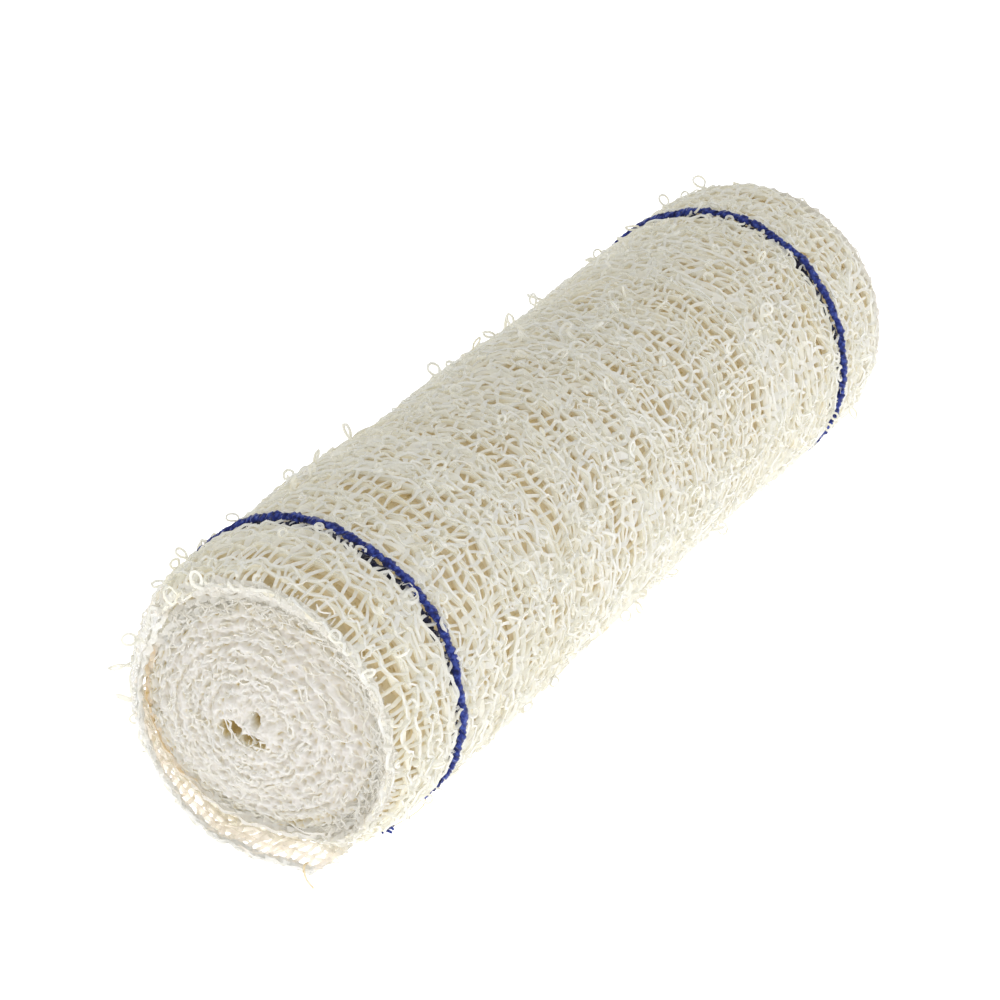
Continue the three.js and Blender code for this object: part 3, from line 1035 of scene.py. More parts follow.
class PackedTurns:
    """The turns under the net and their fluffy edges in the ends: one closed surface with a spiral furrow."""

    COLUMNS = 250
    BODY_ROWS = 32
    SUNK = 1.25
    # Painted shade of the turns seen deep through the net's openings, and the tannest a shoulder row gets
    PAINTED_DEEP_SHADE = -0.1
    HEART_REACH = 4.0
    RING_GAP = 0.17
    HEART_RING_GAP = 0.16
    DASHES = 3

    # How far the coil's edges stand out of the end, and what raises or sinks them
    PROUD = 0.2
    FURROW_DEPTH = 0.36
    DASH_DEPTH = 0.18
    LUMP_HEIGHT = 0.12
    GRAIN_HEIGHT = 0.06
    CREST_HEIGHT = 0.45
    CREST_RADIUS = 3.6
    CREST_WIDTH = 0.9

    # How white they are, and the painted shade that makes them tanner in the furrow, crevices, dashes and
    # pits, on the outer laps and in the loose turn's gap
    WHITE = 1.1
    FURROW_PAINTED_SHADE = 0.16
    CREVICE_PAINTED_SHADE = 0.4
    DASH_PAINTED_SHADE = 0.75
    PIT_PAINTED_SHADE = 0.95
    DEEPEST_PAINTED_PIT = 1.6
    RIM_PAINTED_SHADE = 0.34
    GAP_PAINTED_SHADE = 0.4

    # Angles at which the gap of the loose turn opens and closes over the coil
    GAP_OPENS = (146, 165)
    GAP_CLOSES = (285, 320)

    # Middle, half width, half height and depth of each pit of the heart
    PITS = table(
        (-4.4, -2.51, 1.35, 1.1, 3.4), (-1.0, -3.5, 1.8, 0.8, 3.0), (-0.49, -0.26, 0.55, 1.05, 2.6),
        (-7.77, -2.37, 0.6, 0.5, 1.0),
    )

    def __init__(self, roll: RollForm) -> None:
        """Keeps the wound form.

        Args:
            roll: The form that the turns are packed in.
        """
        self.roll = roll

    def _pits(self, aside: Array, above: Array) -> Array:
        """Sinks the pits of the heart.

        Args:
            aside: Places towards -Y from the axis.
            above: Places up from it.

        Returns:
            How deep each place lies.
        """
        depth = np.zeros(aside.shape)
        for at_aside, at_above, wide, high, deep in self.PITS:
            off = ((aside - at_aside) / wide) ** 2 + ((above - at_above) / high) ** 2
            depth = np.maximum(depth, deep * np.exp(-off * off))
        return depth

    def _end_rings(self, end: End, angle: Array) -> tuple[list[Array], list[Array]]:
        """Lays an end's rings, from its middle out to the body.

        Args:
            end: Which end.
            angle: Angles round the axis.

        Returns:
            The rings' points, and how white each point is.
        """
        lumps, knobs = Waves(61, 1.6, 4.5), Waves(62, 0.8, 1.7, 16)
        grit, drift = Waves(63, 0.35, 0.8, 18), Waves(64, 3, 9)
        inner = np.arange(0.0, self.HEART_REACH, self.HEART_RING_GAP)
        outer = np.arange(self.HEART_REACH, COIL_RADIUS - 0.1, self.RING_GAP)
        mean, angle = np.meshgrid(np.concatenate([inner, outer]), angle, indexing="ij")
        turn = np.radians(angle)
        first, second = mean * np.cos(turn), mean * np.sin(turn) + 40 * end.value
        middles = self.roll.coil(end, mean, angle)
        aside, above = AXIS_Y - middles[..., 1], middles[..., 2] - AXIS_HEIGHT
        lap = (mean - CORE_RADIUS) / COIL_PITCH - angle / 360 - LAP_SHIFT + 0.12 * drift.over(first, second)
        furrow = (0.5 - 0.5 * np.cos(2 * math.pi * lap)) ** 2 * step(mean, 1.0, 4.0)
        lump, knob, grain = (waves.over(first, second) for waves in (lumps, knobs, grit))
        dash = (0.5 + 0.5 * np.cos(2 * math.pi * (self.DASHES * lap + 0.25 * lump))) ** 2
        dash = dash * step(-knob, -0.4, 0.9) * step(mean, 2.5, 4.5)
        pit = self._pits(aside, above)
        from_opening = np.hypot(aside - OPENING_AT[0], above - OPENING_AT[1])
        crest = self.CREST_HEIGHT * hump(from_opening, self.CREST_RADIUS, self.CREST_WIDTH)
        rough = self.LUMP_HEIGHT * lump + self.LUMP_HEIGHT * knob + self.GRAIN_HEIGHT * grain
        proud = self.PROUD - self.FURROW_DEPTH * furrow + rough - pit + crest - self.DASH_DEPTH * dash
        rings = list(self.roll.coil(end, mean, angle, proud=proud))
        # Painted shade: the edges are tanner in furrows, crevices, dashes and pits, on the outer laps and in
        # the loose turn's gap
        crevice = np.clip(-knob - 0.8, 0, 1) + np.clip(-grain - 1.2, 0, 1)
        gap = step(angle, *self.GAP_OPENS) * (1 - step(angle, *self.GAP_CLOSES))
        white = self.WHITE - self.FURROW_PAINTED_SHADE * furrow - self.CREVICE_PAINTED_SHADE * crevice - self.DASH_PAINTED_SHADE * dash
        white = white + 0.05 * drift.over(second, first)
        white = white - self.RIM_PAINTED_SHADE * step(mean, 13.2, 15.8) * (1 - 0.6 * step(knob, 0.2, 1.2))
        white = white - self.GAP_PAINTED_SHADE * step(mean, 14.2, 16.3) * gap
        shades = list(white - self.PIT_PAINTED_SHADE * np.minimum(pit, self.DEEPEST_PAINTED_PIT))
        loose = 1 - step(angle[0], *TIGHT_SIDE)
        for row in range(len(PACKED_SHOULDER)):
            rings.append(self.roll.shoulder(end, PACKED_SHOULDER, row, angle[0]))
            # Painted shade: the shoulder rows get tanner row by row under the net, and tanner on the loose
            # side
            shades.append(np.maximum(0.7 - 0.22 * row - 0.75 * loose, self.PAINTED_DEEP_SHADE))
        return rings, shades

    def build(self, name: str) -> bpy.types.Object:
        """Wraps a grid round the rings.

        Args:
            name: Name of the piece.

        Returns:
            The mesh object, with its shades in the attribute "tint".
        """
        angle = np.linspace(ROOT_ANGLE, ROOT_ANGLE + 360, self.COLUMNS + 1)[:-1]
        far, far_shades = self._end_rings(End.FAR, angle)
        near, near_shades = self._end_rings(End.NEAR, angle)
        body, shades = [], []
        for x in np.linspace(BODY_REACH, -BODY_REACH, self.BODY_ROWS):
            at = np.full(angle.shape, x)
            radius = ROLL_RADIUS - self.SUNK - self.roll.below(angle) + self.roll.swell(at, angle)
            body.append(self.roll.settled(self.roll.ring(at, radius + read(GIRTH, 1, at), angle)))
            # Painted shade of the body's turns under the net
            shades.append(np.full(angle.shape, self.PAINTED_DEEP_SHADE))
        rings = np.stack(far + body + near[::-1])
        tint = np.stack(far_shades + shades + near_shades[::-1])
        rows, columns = rings.shape[:2]
        mesh = bpy.data.meshes.new(name)
        work = bmesh.new()
        bmesh.ops.create_grid(work, x_segments=columns, y_segments=rows - 1, size=1)
        work.verts.ensure_lookup_table()
        layer = work.verts.layers.float.new(TINT)
        for vert in work.verts:
            column = round((vert.co.x + 1) / 2 * columns)
            row = round((vert.co.y + 1) / 2 * (rows - 1))
            vert.co = Vector(rings[row, column % columns] * MM)
            vert[layer] = tint[row, column % columns]
        bmesh.ops.remove_doubles(work, verts=work.verts, dist=1e-7)
        bmesh.ops.recalc_face_normals(work, faces=work.faces)
        work.to_mesh(mesh)
        work.free()
        mesh.polygons.foreach_set("use_smooth", np.ones(len(mesh.polygons), bool))
        return place_piece(name, mesh)


@dataclass
class CoilEdges:
    """The fluffy selvedges of the wound turns that show in an end."""

    roll: RollForm
    end: End
    seed: int = 71
    strands: int = 2
    strand_radius: float = 0.15
    bow_radius: float = 0.12
    bow_every: int = 8

    # Radius of the rope that a turn's edge makes, its points' distance, and its first and last lap
    rope: float = 0.42
    pace: float = 0.7
    first_lap: float = 0.35
    last_lap: float = COIL_TURNS + 0.42

    def lay(self, batch: YarnBatch) -> None:
        """Lays the strands down the spiral and the little bows of weft over them.

        Args:
            batch: The threads that they join.
        """
        rng = np.random.default_rng((self.seed, self.end.value + 1))
        lane, knobs = Waves(72, 1.6, 6), Waves(73, 1.3, 3.2)
        laps, place = [self.first_lap], [0.0]
        while laps[-1] < self.last_lap:
            laps.append(laps[-1] + self.pace / (2 * math.pi * self._mean(laps[-1])))
            place.append(place[-1] + self.pace)
        lap, place = np.array(laps), np.array(place)
        for strand in range(self.strands):
            lie = np.radians(30 + 120 * strand / (self.strands - 1)) + 0.6 * lane.down(place, strand + 0.2)
            line = self._at(lap, lie, 0.2 * lane.down(place, strand + 8.1) - 0.12)
            radius = self.strand_radius * np.clip(1 + 0.4 * knobs.down(place, strand + 0.6), 0.3, 1.8)
            # Painted shade: strands on the rope's sides are darker than those on its crest
            batch.add(line, radius, 0.86 + 0.1 * (np.sin(lie) - 0.8) + 0.05 * knobs.down(place, strand + 3.6))
        lie = np.radians(np.linspace(5, 175, 5))
        for at in lap[:: self.bow_every]:
            round_once = 2 * math.pi * self._mean(at)
            skew = rng.normal(0, 0.55) / round_once
            laps = at + rng.normal(0, 0.2) / round_once + skew * np.cos(lie)
            line = self._at(laps, lie, rng.normal(0, 0.09) + 0.05 * rng.normal(size=5))
            radius = self.bow_radius * rng.uniform(0.75, 1.15)
            # Painted shade: a bow is darker towards its ends, on the rope's sides
            batch.add(line, radius, 0.95 + 0.12 * (np.sin(lie) - 1) + rng.normal(0, 0.06))

    @staticmethod
    def _mean(lap: Values) -> Values:
        """Returns the mean radius of the spiral at a lap."""
        return CORE_RADIUS + COIL_PITCH * (lap + LAP_SHIFT)

    def _at(self, lap: Array, lie: Array, proud: Array) -> Array:
        """Returns points on the rope of a turn's edge.

        Args:
            lap: Which lap of the spiral, with its share.
            lie: Angle round the rope, 0 outwards and 90 degrees out of the end.
            proud: How far off the rope's surface.

        Returns:
            An array of points.
        """
        size = self.rope + proud
        out_of_end, outwards = size * 0.5 * np.sin(lie) - 0.05, 1.35 * size * np.cos(lie)
        return self.roll.coil(self.end, self._mean(lap), 360 * lap, proud=out_of_end, out=outwards)


@dataclass
class Selvedge:
    """The thick, fluffy edge of the strip, where the weft turns back."""

    weave: CrepeWeave
    end: End
    start: float = 36.0
    strands: int = 8
    pace: float = 0.6
    bow_pace: float = 0.5
    bow_radius: float = 0.15
    spill_strands: int = 7
    spill_bows: int = 170
    seed: int = 81

    # Angles at which the gap of the loose turn opens, narrows and closes, and the part left without bows
    gap_opens: tuple[float, float] = (146, 160)
    gap_narrows: tuple[float, float] = (212, 250)
    gap_closes: tuple[float, float] = (296, 322)
    without_bows: tuple[float, float] = (150, 300)

    def lay(self, wound: YarnBatch, loose: YarnBatch) -> None:
        """Lays the close warp of the edge and the bows of the weft round it.

        Args:
            wound: The threads of the edge on the roll.
            loose: The threads of the edge on the loose turn.
        """
        cloth, side = self.weave.cloth, self.end.value
        rng = np.random.default_rng((self.seed, side + 1))
        place = np.arange(self.start, cloth.length - 0.2, self.pace)
        lane, knobs = Waves(82, 1.8, 7), Waves(84, 1.3, 3.0)
        split = int(np.searchsorted(place, cloth.root))
        drawn = 1 - step(place, cloth.root - 9, cloth.root + 1)
        thick = 1 - step(place, cloth.root + 6, cloth.root + 28)
        for strand in range(self.strands):
            share, own = strand / (self.strands - 1), strand + 20.0 * side
            at = HALF_WIDTH + 2.5 * drawn * share - (0.8 + 0.5 * thick) * (1 - share)
            at = at + 0.18 * lane.down(place, own)
            deep = 0.3 * drawn * share ** 3 + 0.9 * thick * (1 - drawn) * (strand % 2)
            height = -0.45 + 0.16 * lane.down(place, own + 4.4) - deep
            line = cloth.place(place, side * at, height)
            radius = (0.3 + 0.12 * thick) * np.clip(1 + 0.3 * knobs.down(place, own + 7.7), 0.5, 1.6)
            # Painted light and shade: a strand is whiter where it lies higher, and whiter still on the loose
            # turn, where light comes through it
            shade = 0.92 + 0.1 * (height + 0.5) + 0.05 * knobs.down(place, own + 2.2)
            wound.add(line[: split + 1], radius[: split + 1], shade[: split + 1])
            loose.add(line[split:], radius[split:], shade[split:] + 0.12)
        turn = np.radians(np.linspace(-90, 90, 6))
        for at in np.arange(self.start, cloth.length - 0.3, self.bow_pace):
            free = 1 - float(step(at, cloth.root - 9, cloth.root + 1))
            reach, width, lean = rng.uniform(0.8, 2.6), rng.uniform(0.25, 0.5), rng.normal(0, 0.4)
            over = HALF_WIDTH + 0.2 + rng.uniform(-0.5, 2.3) * free + rng.normal(0, 0.15)
            over = over - reach * (1 - np.cos(turn))
            down = at + width * np.sin(turn) + lean * (np.cos(turn) - 0.5)
            height = -0.16 + rng.normal(0, 0.08) + 0.1 * np.sin(turn) * rng.choice([-1, 1])
            line = cloth.place(down, side * over, height - 0.3 * np.cos(turn))
            batch = wound if at < cloth.root else loose
            batch.add(line, self.bow_radius * rng.uniform(0.8, 1.2), 0.97 + rng.normal(0, 0.05))

    def spill(self, batch: YarnBatch) -> None:
        """Lays the fluff that the selvedge spills over the coil, with painted shade that makes it tanner in
        the gap of the loose turn.

        Args:
            batch: The threads that it joins.
        """
        side, roll = self.end.value, self.weave.cloth.roll
        starts = ROOT_ANGLE - 40
        angle = np.arange(starts, ROOT_ANGLE + 360, 1.9)
        lane, knobs = Waves(83, 6, 22), Waves(85, 4.5, 11)
        gap = step(angle, *self.gap_opens) * (1 - 0.85 * step(angle, *self.gap_narrows))
        gap = gap * (1 - step(angle, *self.gap_closes))
        sunk = 1 - step(angle, starts, ROOT_ANGLE + 5)
        ring = roll.shoulder(self.end, SHOULDER, 0, angle)
        middle = np.array([0, AXIS_Y, AXIS_HEIGHT + END_LIFT[self.end]])
        for strand in range(self.spill_strands):
            inwards = 1 - (0.27 * strand - 0.4 + 0.16 * lane.down(angle, strand + 0.3)) / COIL_RADIUS
            line = middle + (ring - middle) * np.stack([np.ones(len(angle)), inwards, inwards], axis=1)
            proud = 0.75 - 0.15 * strand - 0.25 * gap + 0.14 * lane.down(angle, strand + 5.6) - 1.2 * sunk
            line[:, 0] += side * proud
            radius = (0.36 - 0.02 * strand) * np.clip(1 + 0.35 * knobs.down(angle, strand + 9.1), 0.5, 1.7)
            # Painted shade in the gap of the loose turn
            shade = 0.95 + 0.06 * knobs.down(angle, strand + 3.3) - gap * (0.78 - 0.06 * strand)
            batch.add(line, radius, shade)
        rng = np.random.default_rng((self.seed, side + 5))
        for _ in range(self.spill_bows):
            at = rng.uniform(ROOT_ANGLE + 10, ROOT_ANGLE + 358)
            if self.without_bows[0] < at < self.without_bows[1]:
                continue
            turn = at + np.cumsum(rng.normal(0, 2.2, 5)) + np.linspace(0, rng.normal(0, 6), 5)
            reach = 16.9 - np.linspace(-0.6, 1.9, 5) * rng.uniform(0.5, 1) + rng.normal(0, 0.12, 5)
            x = side * (HALF_WIDTH - 1.9 - 0.5 * np.linspace(-0.2, 1, 5) ** 2 + 0.15 * rng.normal(size=5))
            flat = END_COIL_HEIGHT[self.end] + 0.02
            line = roll.ring(x, reach, turn, flat=flat, lift=END_LIFT[self.end])
            batch.add(line, rng.uniform(0.1, 0.17), 0.96 + rng.normal(0, 0.05))


@dataclass
class Fuzz:
    """Fine curled fibres that lie over the yarn, and hairs that stand off it."""

    weave: CrepeWeave
    start: float = 44.0
    reach: float = 73.0
    strip_curls: int = 300
    strip_curl_radius: float = 0.1
    strip_curl_length: tuple[float, float] = (2.5, 5.0)
    end_curls: int = 130
    end_curl_radius: float = 0.07
    end_curl_length: tuple[float, float] = (1.5, 3.4)
    end_curl_reach: tuple[float, float] = (2.6, 16.8)
    strip_hairs: int = 500
    selvedge_hairs: int = 200
    hair_radius: tuple[float, float] = (0.045, 0.02)
    seed: int = 91

    def lay(self, batch: YarnBatch) -> None:
        """Lays the curled fibres of the strip and of both ends, and the hairs.

        Args:
            batch: The threads that they join.
        """
        self._curl_over_strip(batch)
        for end in End:
            self._curl_over_end(batch, end)
        self._stand_hairs(batch)

    def _curl_over_strip(self, batch: YarnBatch) -> None:
        """Lays the curled fibres over the strip.

        Args:
            batch: The threads that they join.
        """
        rng, cloth = np.random.default_rng(self.seed), self.weave.cloth
        for _ in range(self.strip_curls):
            along, across = rng.uniform(self.start, cloth.length - 1), rng.uniform(-self.reach, self.reach)
            steps, bend = 7, rng.normal(0, 0.75)
            facing = rng.uniform(0, 2 * math.pi) + np.cumsum(bend + rng.normal(0, 0.3, steps))
            pace = rng.uniform(*self.strip_curl_length) / steps
            down = along + np.cumsum(np.cos(facing)) * pace
            over = np.clip(across + np.cumsum(np.sin(facing)) * pace, -HALF_WIDTH, HALF_WIDTH)
            height = 0.16 + 0.1 * rng.random() + 0.08 * rng.normal(size=steps)
            height[[0, -1]] = -0.3
            line = cloth.place(np.clip(down, 0, cloth.length), over, height)
            batch.add(line, self.strip_curl_radius * rng.uniform(0.8, 1.2), 0.93 + rng.normal(0, 0.05))

    def _curl_over_end(self, batch: YarnBatch, end: End) -> None:
        """Lays the curled fibres over an end of the coil.

        Args:
            batch: The threads that they join.
            end: Which end.
        """
        rng, roll = np.random.default_rng((self.seed, end.value + 5)), self.weave.cloth.roll
        for _ in range(self.end_curls):
            mean = math.sqrt(rng.uniform(*(reach ** 2 for reach in self.end_curl_reach)))
            turn, steps = rng.uniform(0, 2 * math.pi), 6
            facing = turn + math.pi / 2 + rng.normal(0, 0.7)
            facing = facing + np.cumsum(rng.normal(0, 0.5) + rng.normal(0, 0.5, steps))
            pace = rng.uniform(*self.end_curl_length) / steps
            first = mean * math.cos(turn) + np.cumsum(np.cos(facing)) * pace
            second = mean * math.sin(turn) + np.cumsum(np.sin(facing)) * pace
            proud = 0.36 + 0.1 * rng.random() + 0.1 * rng.normal(size=steps)
            proud[[0, -1]] = 0.0
            line = roll.coil(end, np.hypot(first, second), np.degrees(np.arctan2(second, first)), proud=proud)
            batch.add(line, self.end_curl_radius * rng.uniform(0.7, 1.2), 0.9 + rng.normal(0, 0.12))

    def _stand_hairs(self, batch: YarnBatch) -> None:
        """Stands the hairs on the strip and at its selvedges.

        Args:
            batch: The threads that they join.
        """
        rng, cloth = np.random.default_rng(self.seed + 1), self.weave.cloth
        feet = []
        for _ in range(self.strip_hairs):
            along = rng.uniform(self.start, cloth.length)
            feet.append((along, rng.uniform(1 - self.reach, self.reach - 1), 0))
        for end in End:
            for _ in range(self.selvedge_hairs):
                along = rng.uniform(self.start - 4, cloth.length)
                across = end.value * rng.uniform(self.reach, HALF_WIDTH + 1)
                feet.append((along, across, end.value))
        share = np.linspace(0, 1, 4)
        radius = np.linspace(*self.hair_radius, len(share))
        for along, across, side in feet:
            lean, facing, size = rng.uniform(0.2, 1.2), rng.uniform(0, 2 * math.pi), rng.uniform(0.4, 1.3)
            bow = rng.normal(0, 0.3) * np.sin(math.pi * share)
            height = size * math.sin(lean) * share * (0.4 if side else 1.0)
            down = along + size * math.cos(lean) * math.cos(facing) * share + bow
            over = across + size * math.cos(lean) * math.sin(facing) * share + side * 0.6 * size * share
            batch.add(cloth.place(np.clip(down, 0, cloth.length), over, height), radius, 1.0)


@dataclass
class CutEnd:
    """The frayed warp, weft and marker threads at the strip's cut end, on the table."""

    weave: CrepeWeave
    seed: int = 111
    marker_fibres: int = 10

    # Place along the roll, count and length of each tuft
    tufts: tuple[tuple[float, int, float], ...] = (
        (-70.5, 5, 2.0), (-67.5, 6, 2.6), (-62, 2, 1.5), (-54.6, 5, 3.0), (-51, 2, 1.8), (-47.5, 5, 2.2),
        (-43.3, 4, 2.6), (-35, 2, 2.0), (-24, 3, 2.4), (-9, 2, 1.8), (6, 3, 2.2), (22, 2, 2.5), (40, 3, 2.0),
        (57, 2, 2.2), (70, 4, 2.0),
    )

    # Radius, shade and points of the thread that strays from the corner, and of the one along the edge
    corner_stray: tuple[float, float] = (0.19, 0.3)
    corner_points: tuple[Place, ...] = (
        (-71.8, -5.9, 0.7), (-73.0, -6.2, 1.1), (-74.3, -6.9, 1.0), (-75.5, -8.0, 0.6), (-76.3, -9.4, 0.3),
    )
    edge_stray: tuple[float, float] = (0.12, 0.45)
    edge_points: tuple[Place, ...] = (
        (-49.5, -10.6, 0.5), (-52, -11.5, 0.4), (-54.5, -11.6, 0.5), (-57.5, -10.9, 0.4), (-60, -10.2, 0.4),
    )

    def lay(self, batch: YarnBatch) -> None:
        """Lays the tufts of warp and the stray threads.

        Args:
            batch: The threads that they join.
        """
        rng = np.random.default_rng(self.seed)
        for x, count, length in self.tufts:
            for _ in range(count):
                at, reach = x + rng.normal(0, 0.7), length * rng.uniform(0.5, 1.1)
                self._fibre(batch, rng, at, reach, rng.uniform(0.1, 0.16), 0.9)
        batch.add(np.array(self.corner_points), *self.corner_stray, smooth=True)
        batch.add(np.array(self.edge_points), *self.edge_stray, smooth=True)

    def lay_blue(self, batch: YarnBatch) -> None:
        """Lays the frayed ends of the two marker threads.

        Args:
            batch: The threads that they join.
        """
        rng = np.random.default_rng(self.seed + 1)
        for end in End:
            for _ in range(self.marker_fibres):
                length = MARKER_FRAY[end] * rng.uniform(0.8, 1.7)
                at = end.value * BLUE_AT + rng.normal(0, 0.5)
                self._fibre(batch, rng, at, length, rng.uniform(0.17, 0.26), 0.6, bend=0.4)

    def _fibre(
        self, batch: YarnBatch, rng: np.random.Generator, x: float, length: float, radius: float, tint: float,
        bend: float = 1.0,
    ) -> None:
        """Lays one fibre from the cut end outwards.

        Args:
            batch: The threads that it joins.
            rng: Where its bend is drawn.
            x: Where it leaves the strip.
            length: How far it reaches.
            radius: Its radius.
            tint: Its shade.
            bend: How much it wriggles.
        """
        share = np.linspace(-0.3, 1, 6)
        count = len(share)
        facing = rng.normal(0.15, 0.5) + bend * np.cumsum(rng.normal(0, 0.35, count))
        pace = length / (count - 1)
        y = AXIS_Y + float(read(CUT_END, 1, np.array(x))) - TAIL_REACH
        over = x + pace * np.cumsum(np.sin(facing)) - pace
        down = y + 0.5 - pace * np.cumsum(np.cos(facing))
        rise = 0.35 + 0.5 * rng.random() * np.sin(math.pi * np.clip(share, 0, 1))
        line = np.stack([over, down, rise], axis=1)
        batch.add(line, radius * np.linspace(1, 0.7, count), tint + rng.normal(0, 0.08))


@dataclass
class Heart:
    """The strip's first turn, curled up in the pinched opening at the middle of an end."""

    roll: RollForm
    end: End
    seed: int = 101
    inset: float = 1.6
    curled: int = 18
    curl_at: tuple[float, float] = (-1.9, -1.4)
    strays: int = 12
    opening: float = 3.1
    points: int = 8

    def lay(self, batch: YarnBatch) -> None:
        """Lays the knotted fibres of the curl and those that stray over the opening.

        Args:
            batch: The threads that they join.
        """
        rng, count = np.random.default_rng((self.seed, self.end.value + 1)), self.points
        for _ in range(self.curled):
            turn = rng.uniform(0, 2 * math.pi) + np.cumsum(rng.normal(0.7, 0.4, count))
            reach = rng.uniform(0.25, 0.75)
            aside = self.curl_at[0] + rng.normal(0, 0.25) + reach * np.cos(turn)
            above = self.curl_at[1] + rng.normal(0, 0.25) + 0.75 * reach * np.sin(turn)
            self._fibre(batch, rng, aside, above, -0.6 + 0.45 * rng.normal(size=count))
        share = np.linspace(0, 1, count)
        for _ in range(self.strays):
            turn = rng.uniform(0, 2 * math.pi)
            reach = self.opening - rng.uniform(0.4, 1.6) * share
            aside = OPENING_AT[0] + reach * np.cos(turn + rng.normal(0, 0.5) * share)
            above = OPENING_AT[1] + 0.8 * reach * np.sin(turn + rng.normal(0, 0.5) * share)
            self._fibre(batch, rng, aside, above, 0.3 - 1.1 * share + 0.15 * rng.normal(size=count))

    def _fibre(
        self, batch: YarnBatch, rng: np.random.Generator, aside: Array, above: Array, proud: Array
    ) -> None:
        """Lays one fibre.

        Args:
            batch: The threads that it joins.
            rng: Where its thickness and shade are drawn.
            aside: Places towards -Y from the axis.
            above: Places up from it.
            proud: How far it stands out of the end.
        """
        x = self.end.value * (HALF_WIDTH - self.inset + proud)
        line = np.stack(np.broadcast_arrays(x, AXIS_Y - aside, AXIS_HEIGHT + above), axis=-1)
        batch.add(line, rng.uniform(0.08, 0.2), 0.85 + rng.normal(0, 0.12))


class NodeMaker:
    """A finish's material while its nodes are put together."""

    def __init__(self, name: str) -> None:
        """Starts the material.

        Args:
            name: Its name.
        """
        self.material = bpy.data.materials.new(name)
        self.material.use_nodes = True
        self.tree = self.material.node_tree
        self.shader = self.tree.nodes["Principled BSDF"]

    def feed(self, node: bpy.types.Node, inputs: Inputs) -> None:
        """Feeds a node's sockets.

        Args:
            node: The node.
            inputs: A fixed value, or the socket of another node, for each of its sockets.
        """
        for socket, value in inputs.items():
            if isinstance(value, Socket):
                self.tree.links.new(value, node.inputs[socket])
            else:
                node.inputs[socket].default_value = value

    def add(self, kind: str, inputs: Inputs, output: str | int = 0, operation: str = "") -> Socket:
        """Adds a node.

        Args:
            kind: Its kind, without the word that every shader node's kind starts with.
            inputs: What feeds its sockets.
            output: Which of its outputs is wanted.
            operation: What it works out, if it is a maths node.

        Returns:
            That output.
        """
        node = self.tree.nodes.new("ShaderNode" + kind)
        if operation:
            node.operation = operation
        self.feed(node, inputs)
        return node.outputs[output]

    @cached_property
    def place(self) -> Socket:
        """Returns the piece's own coordinates."""
        return self.add("TexCoord", {}, "Object")

    def noise(self, scale: float, detail: float) -> Socket:
        """Adds a noise over the piece's own coordinates.

        Args:
            scale: How many spots it has in a metre.
            detail: How many finer noises are laid over it.

        Returns:
            Its value, from 0 to 1.
        """
        return self.add("TexNoise", {"Vector": self.place, "Scale": scale, "Detail": detail}, "Fac")

    def ramp(self, share: Socket, stops: tuple[tuple[float, Colour], ...]) -> Socket:
        """Adds a ramp of colours.

        Args:
            share: Where on the ramp.
            stops: Its places and their colours, from the first to the last.

        Returns:
            The colour.
        """
        node = self.tree.nodes.new("ShaderNodeValToRGB")
        elements = node.color_ramp.elements
        elements[0].position, elements[-1].position = stops[0][0], stops[-1][0]
        for position, _ in stops[1:-1]:
            elements.new(position)
        for element, (_, colour) in zip(elements, stops):
            element.color = (*colour, 1)
        self.feed(node, {"Fac": share})
        return node.outputs["Color"]

    def roughen(self, height: Socket, strength: float, distance: float) -> None:
        """Gives the shader a fine relief.

        Args:
            height: The relief's pattern.
            strength: Its strength.
            distance: Its depth in metres.
        """
        relief = {"Height": height, "Strength": strength, "Distance": distance}
        self.feed(self.shader, {"Normal": self.add("Bump", relief, "Normal")})


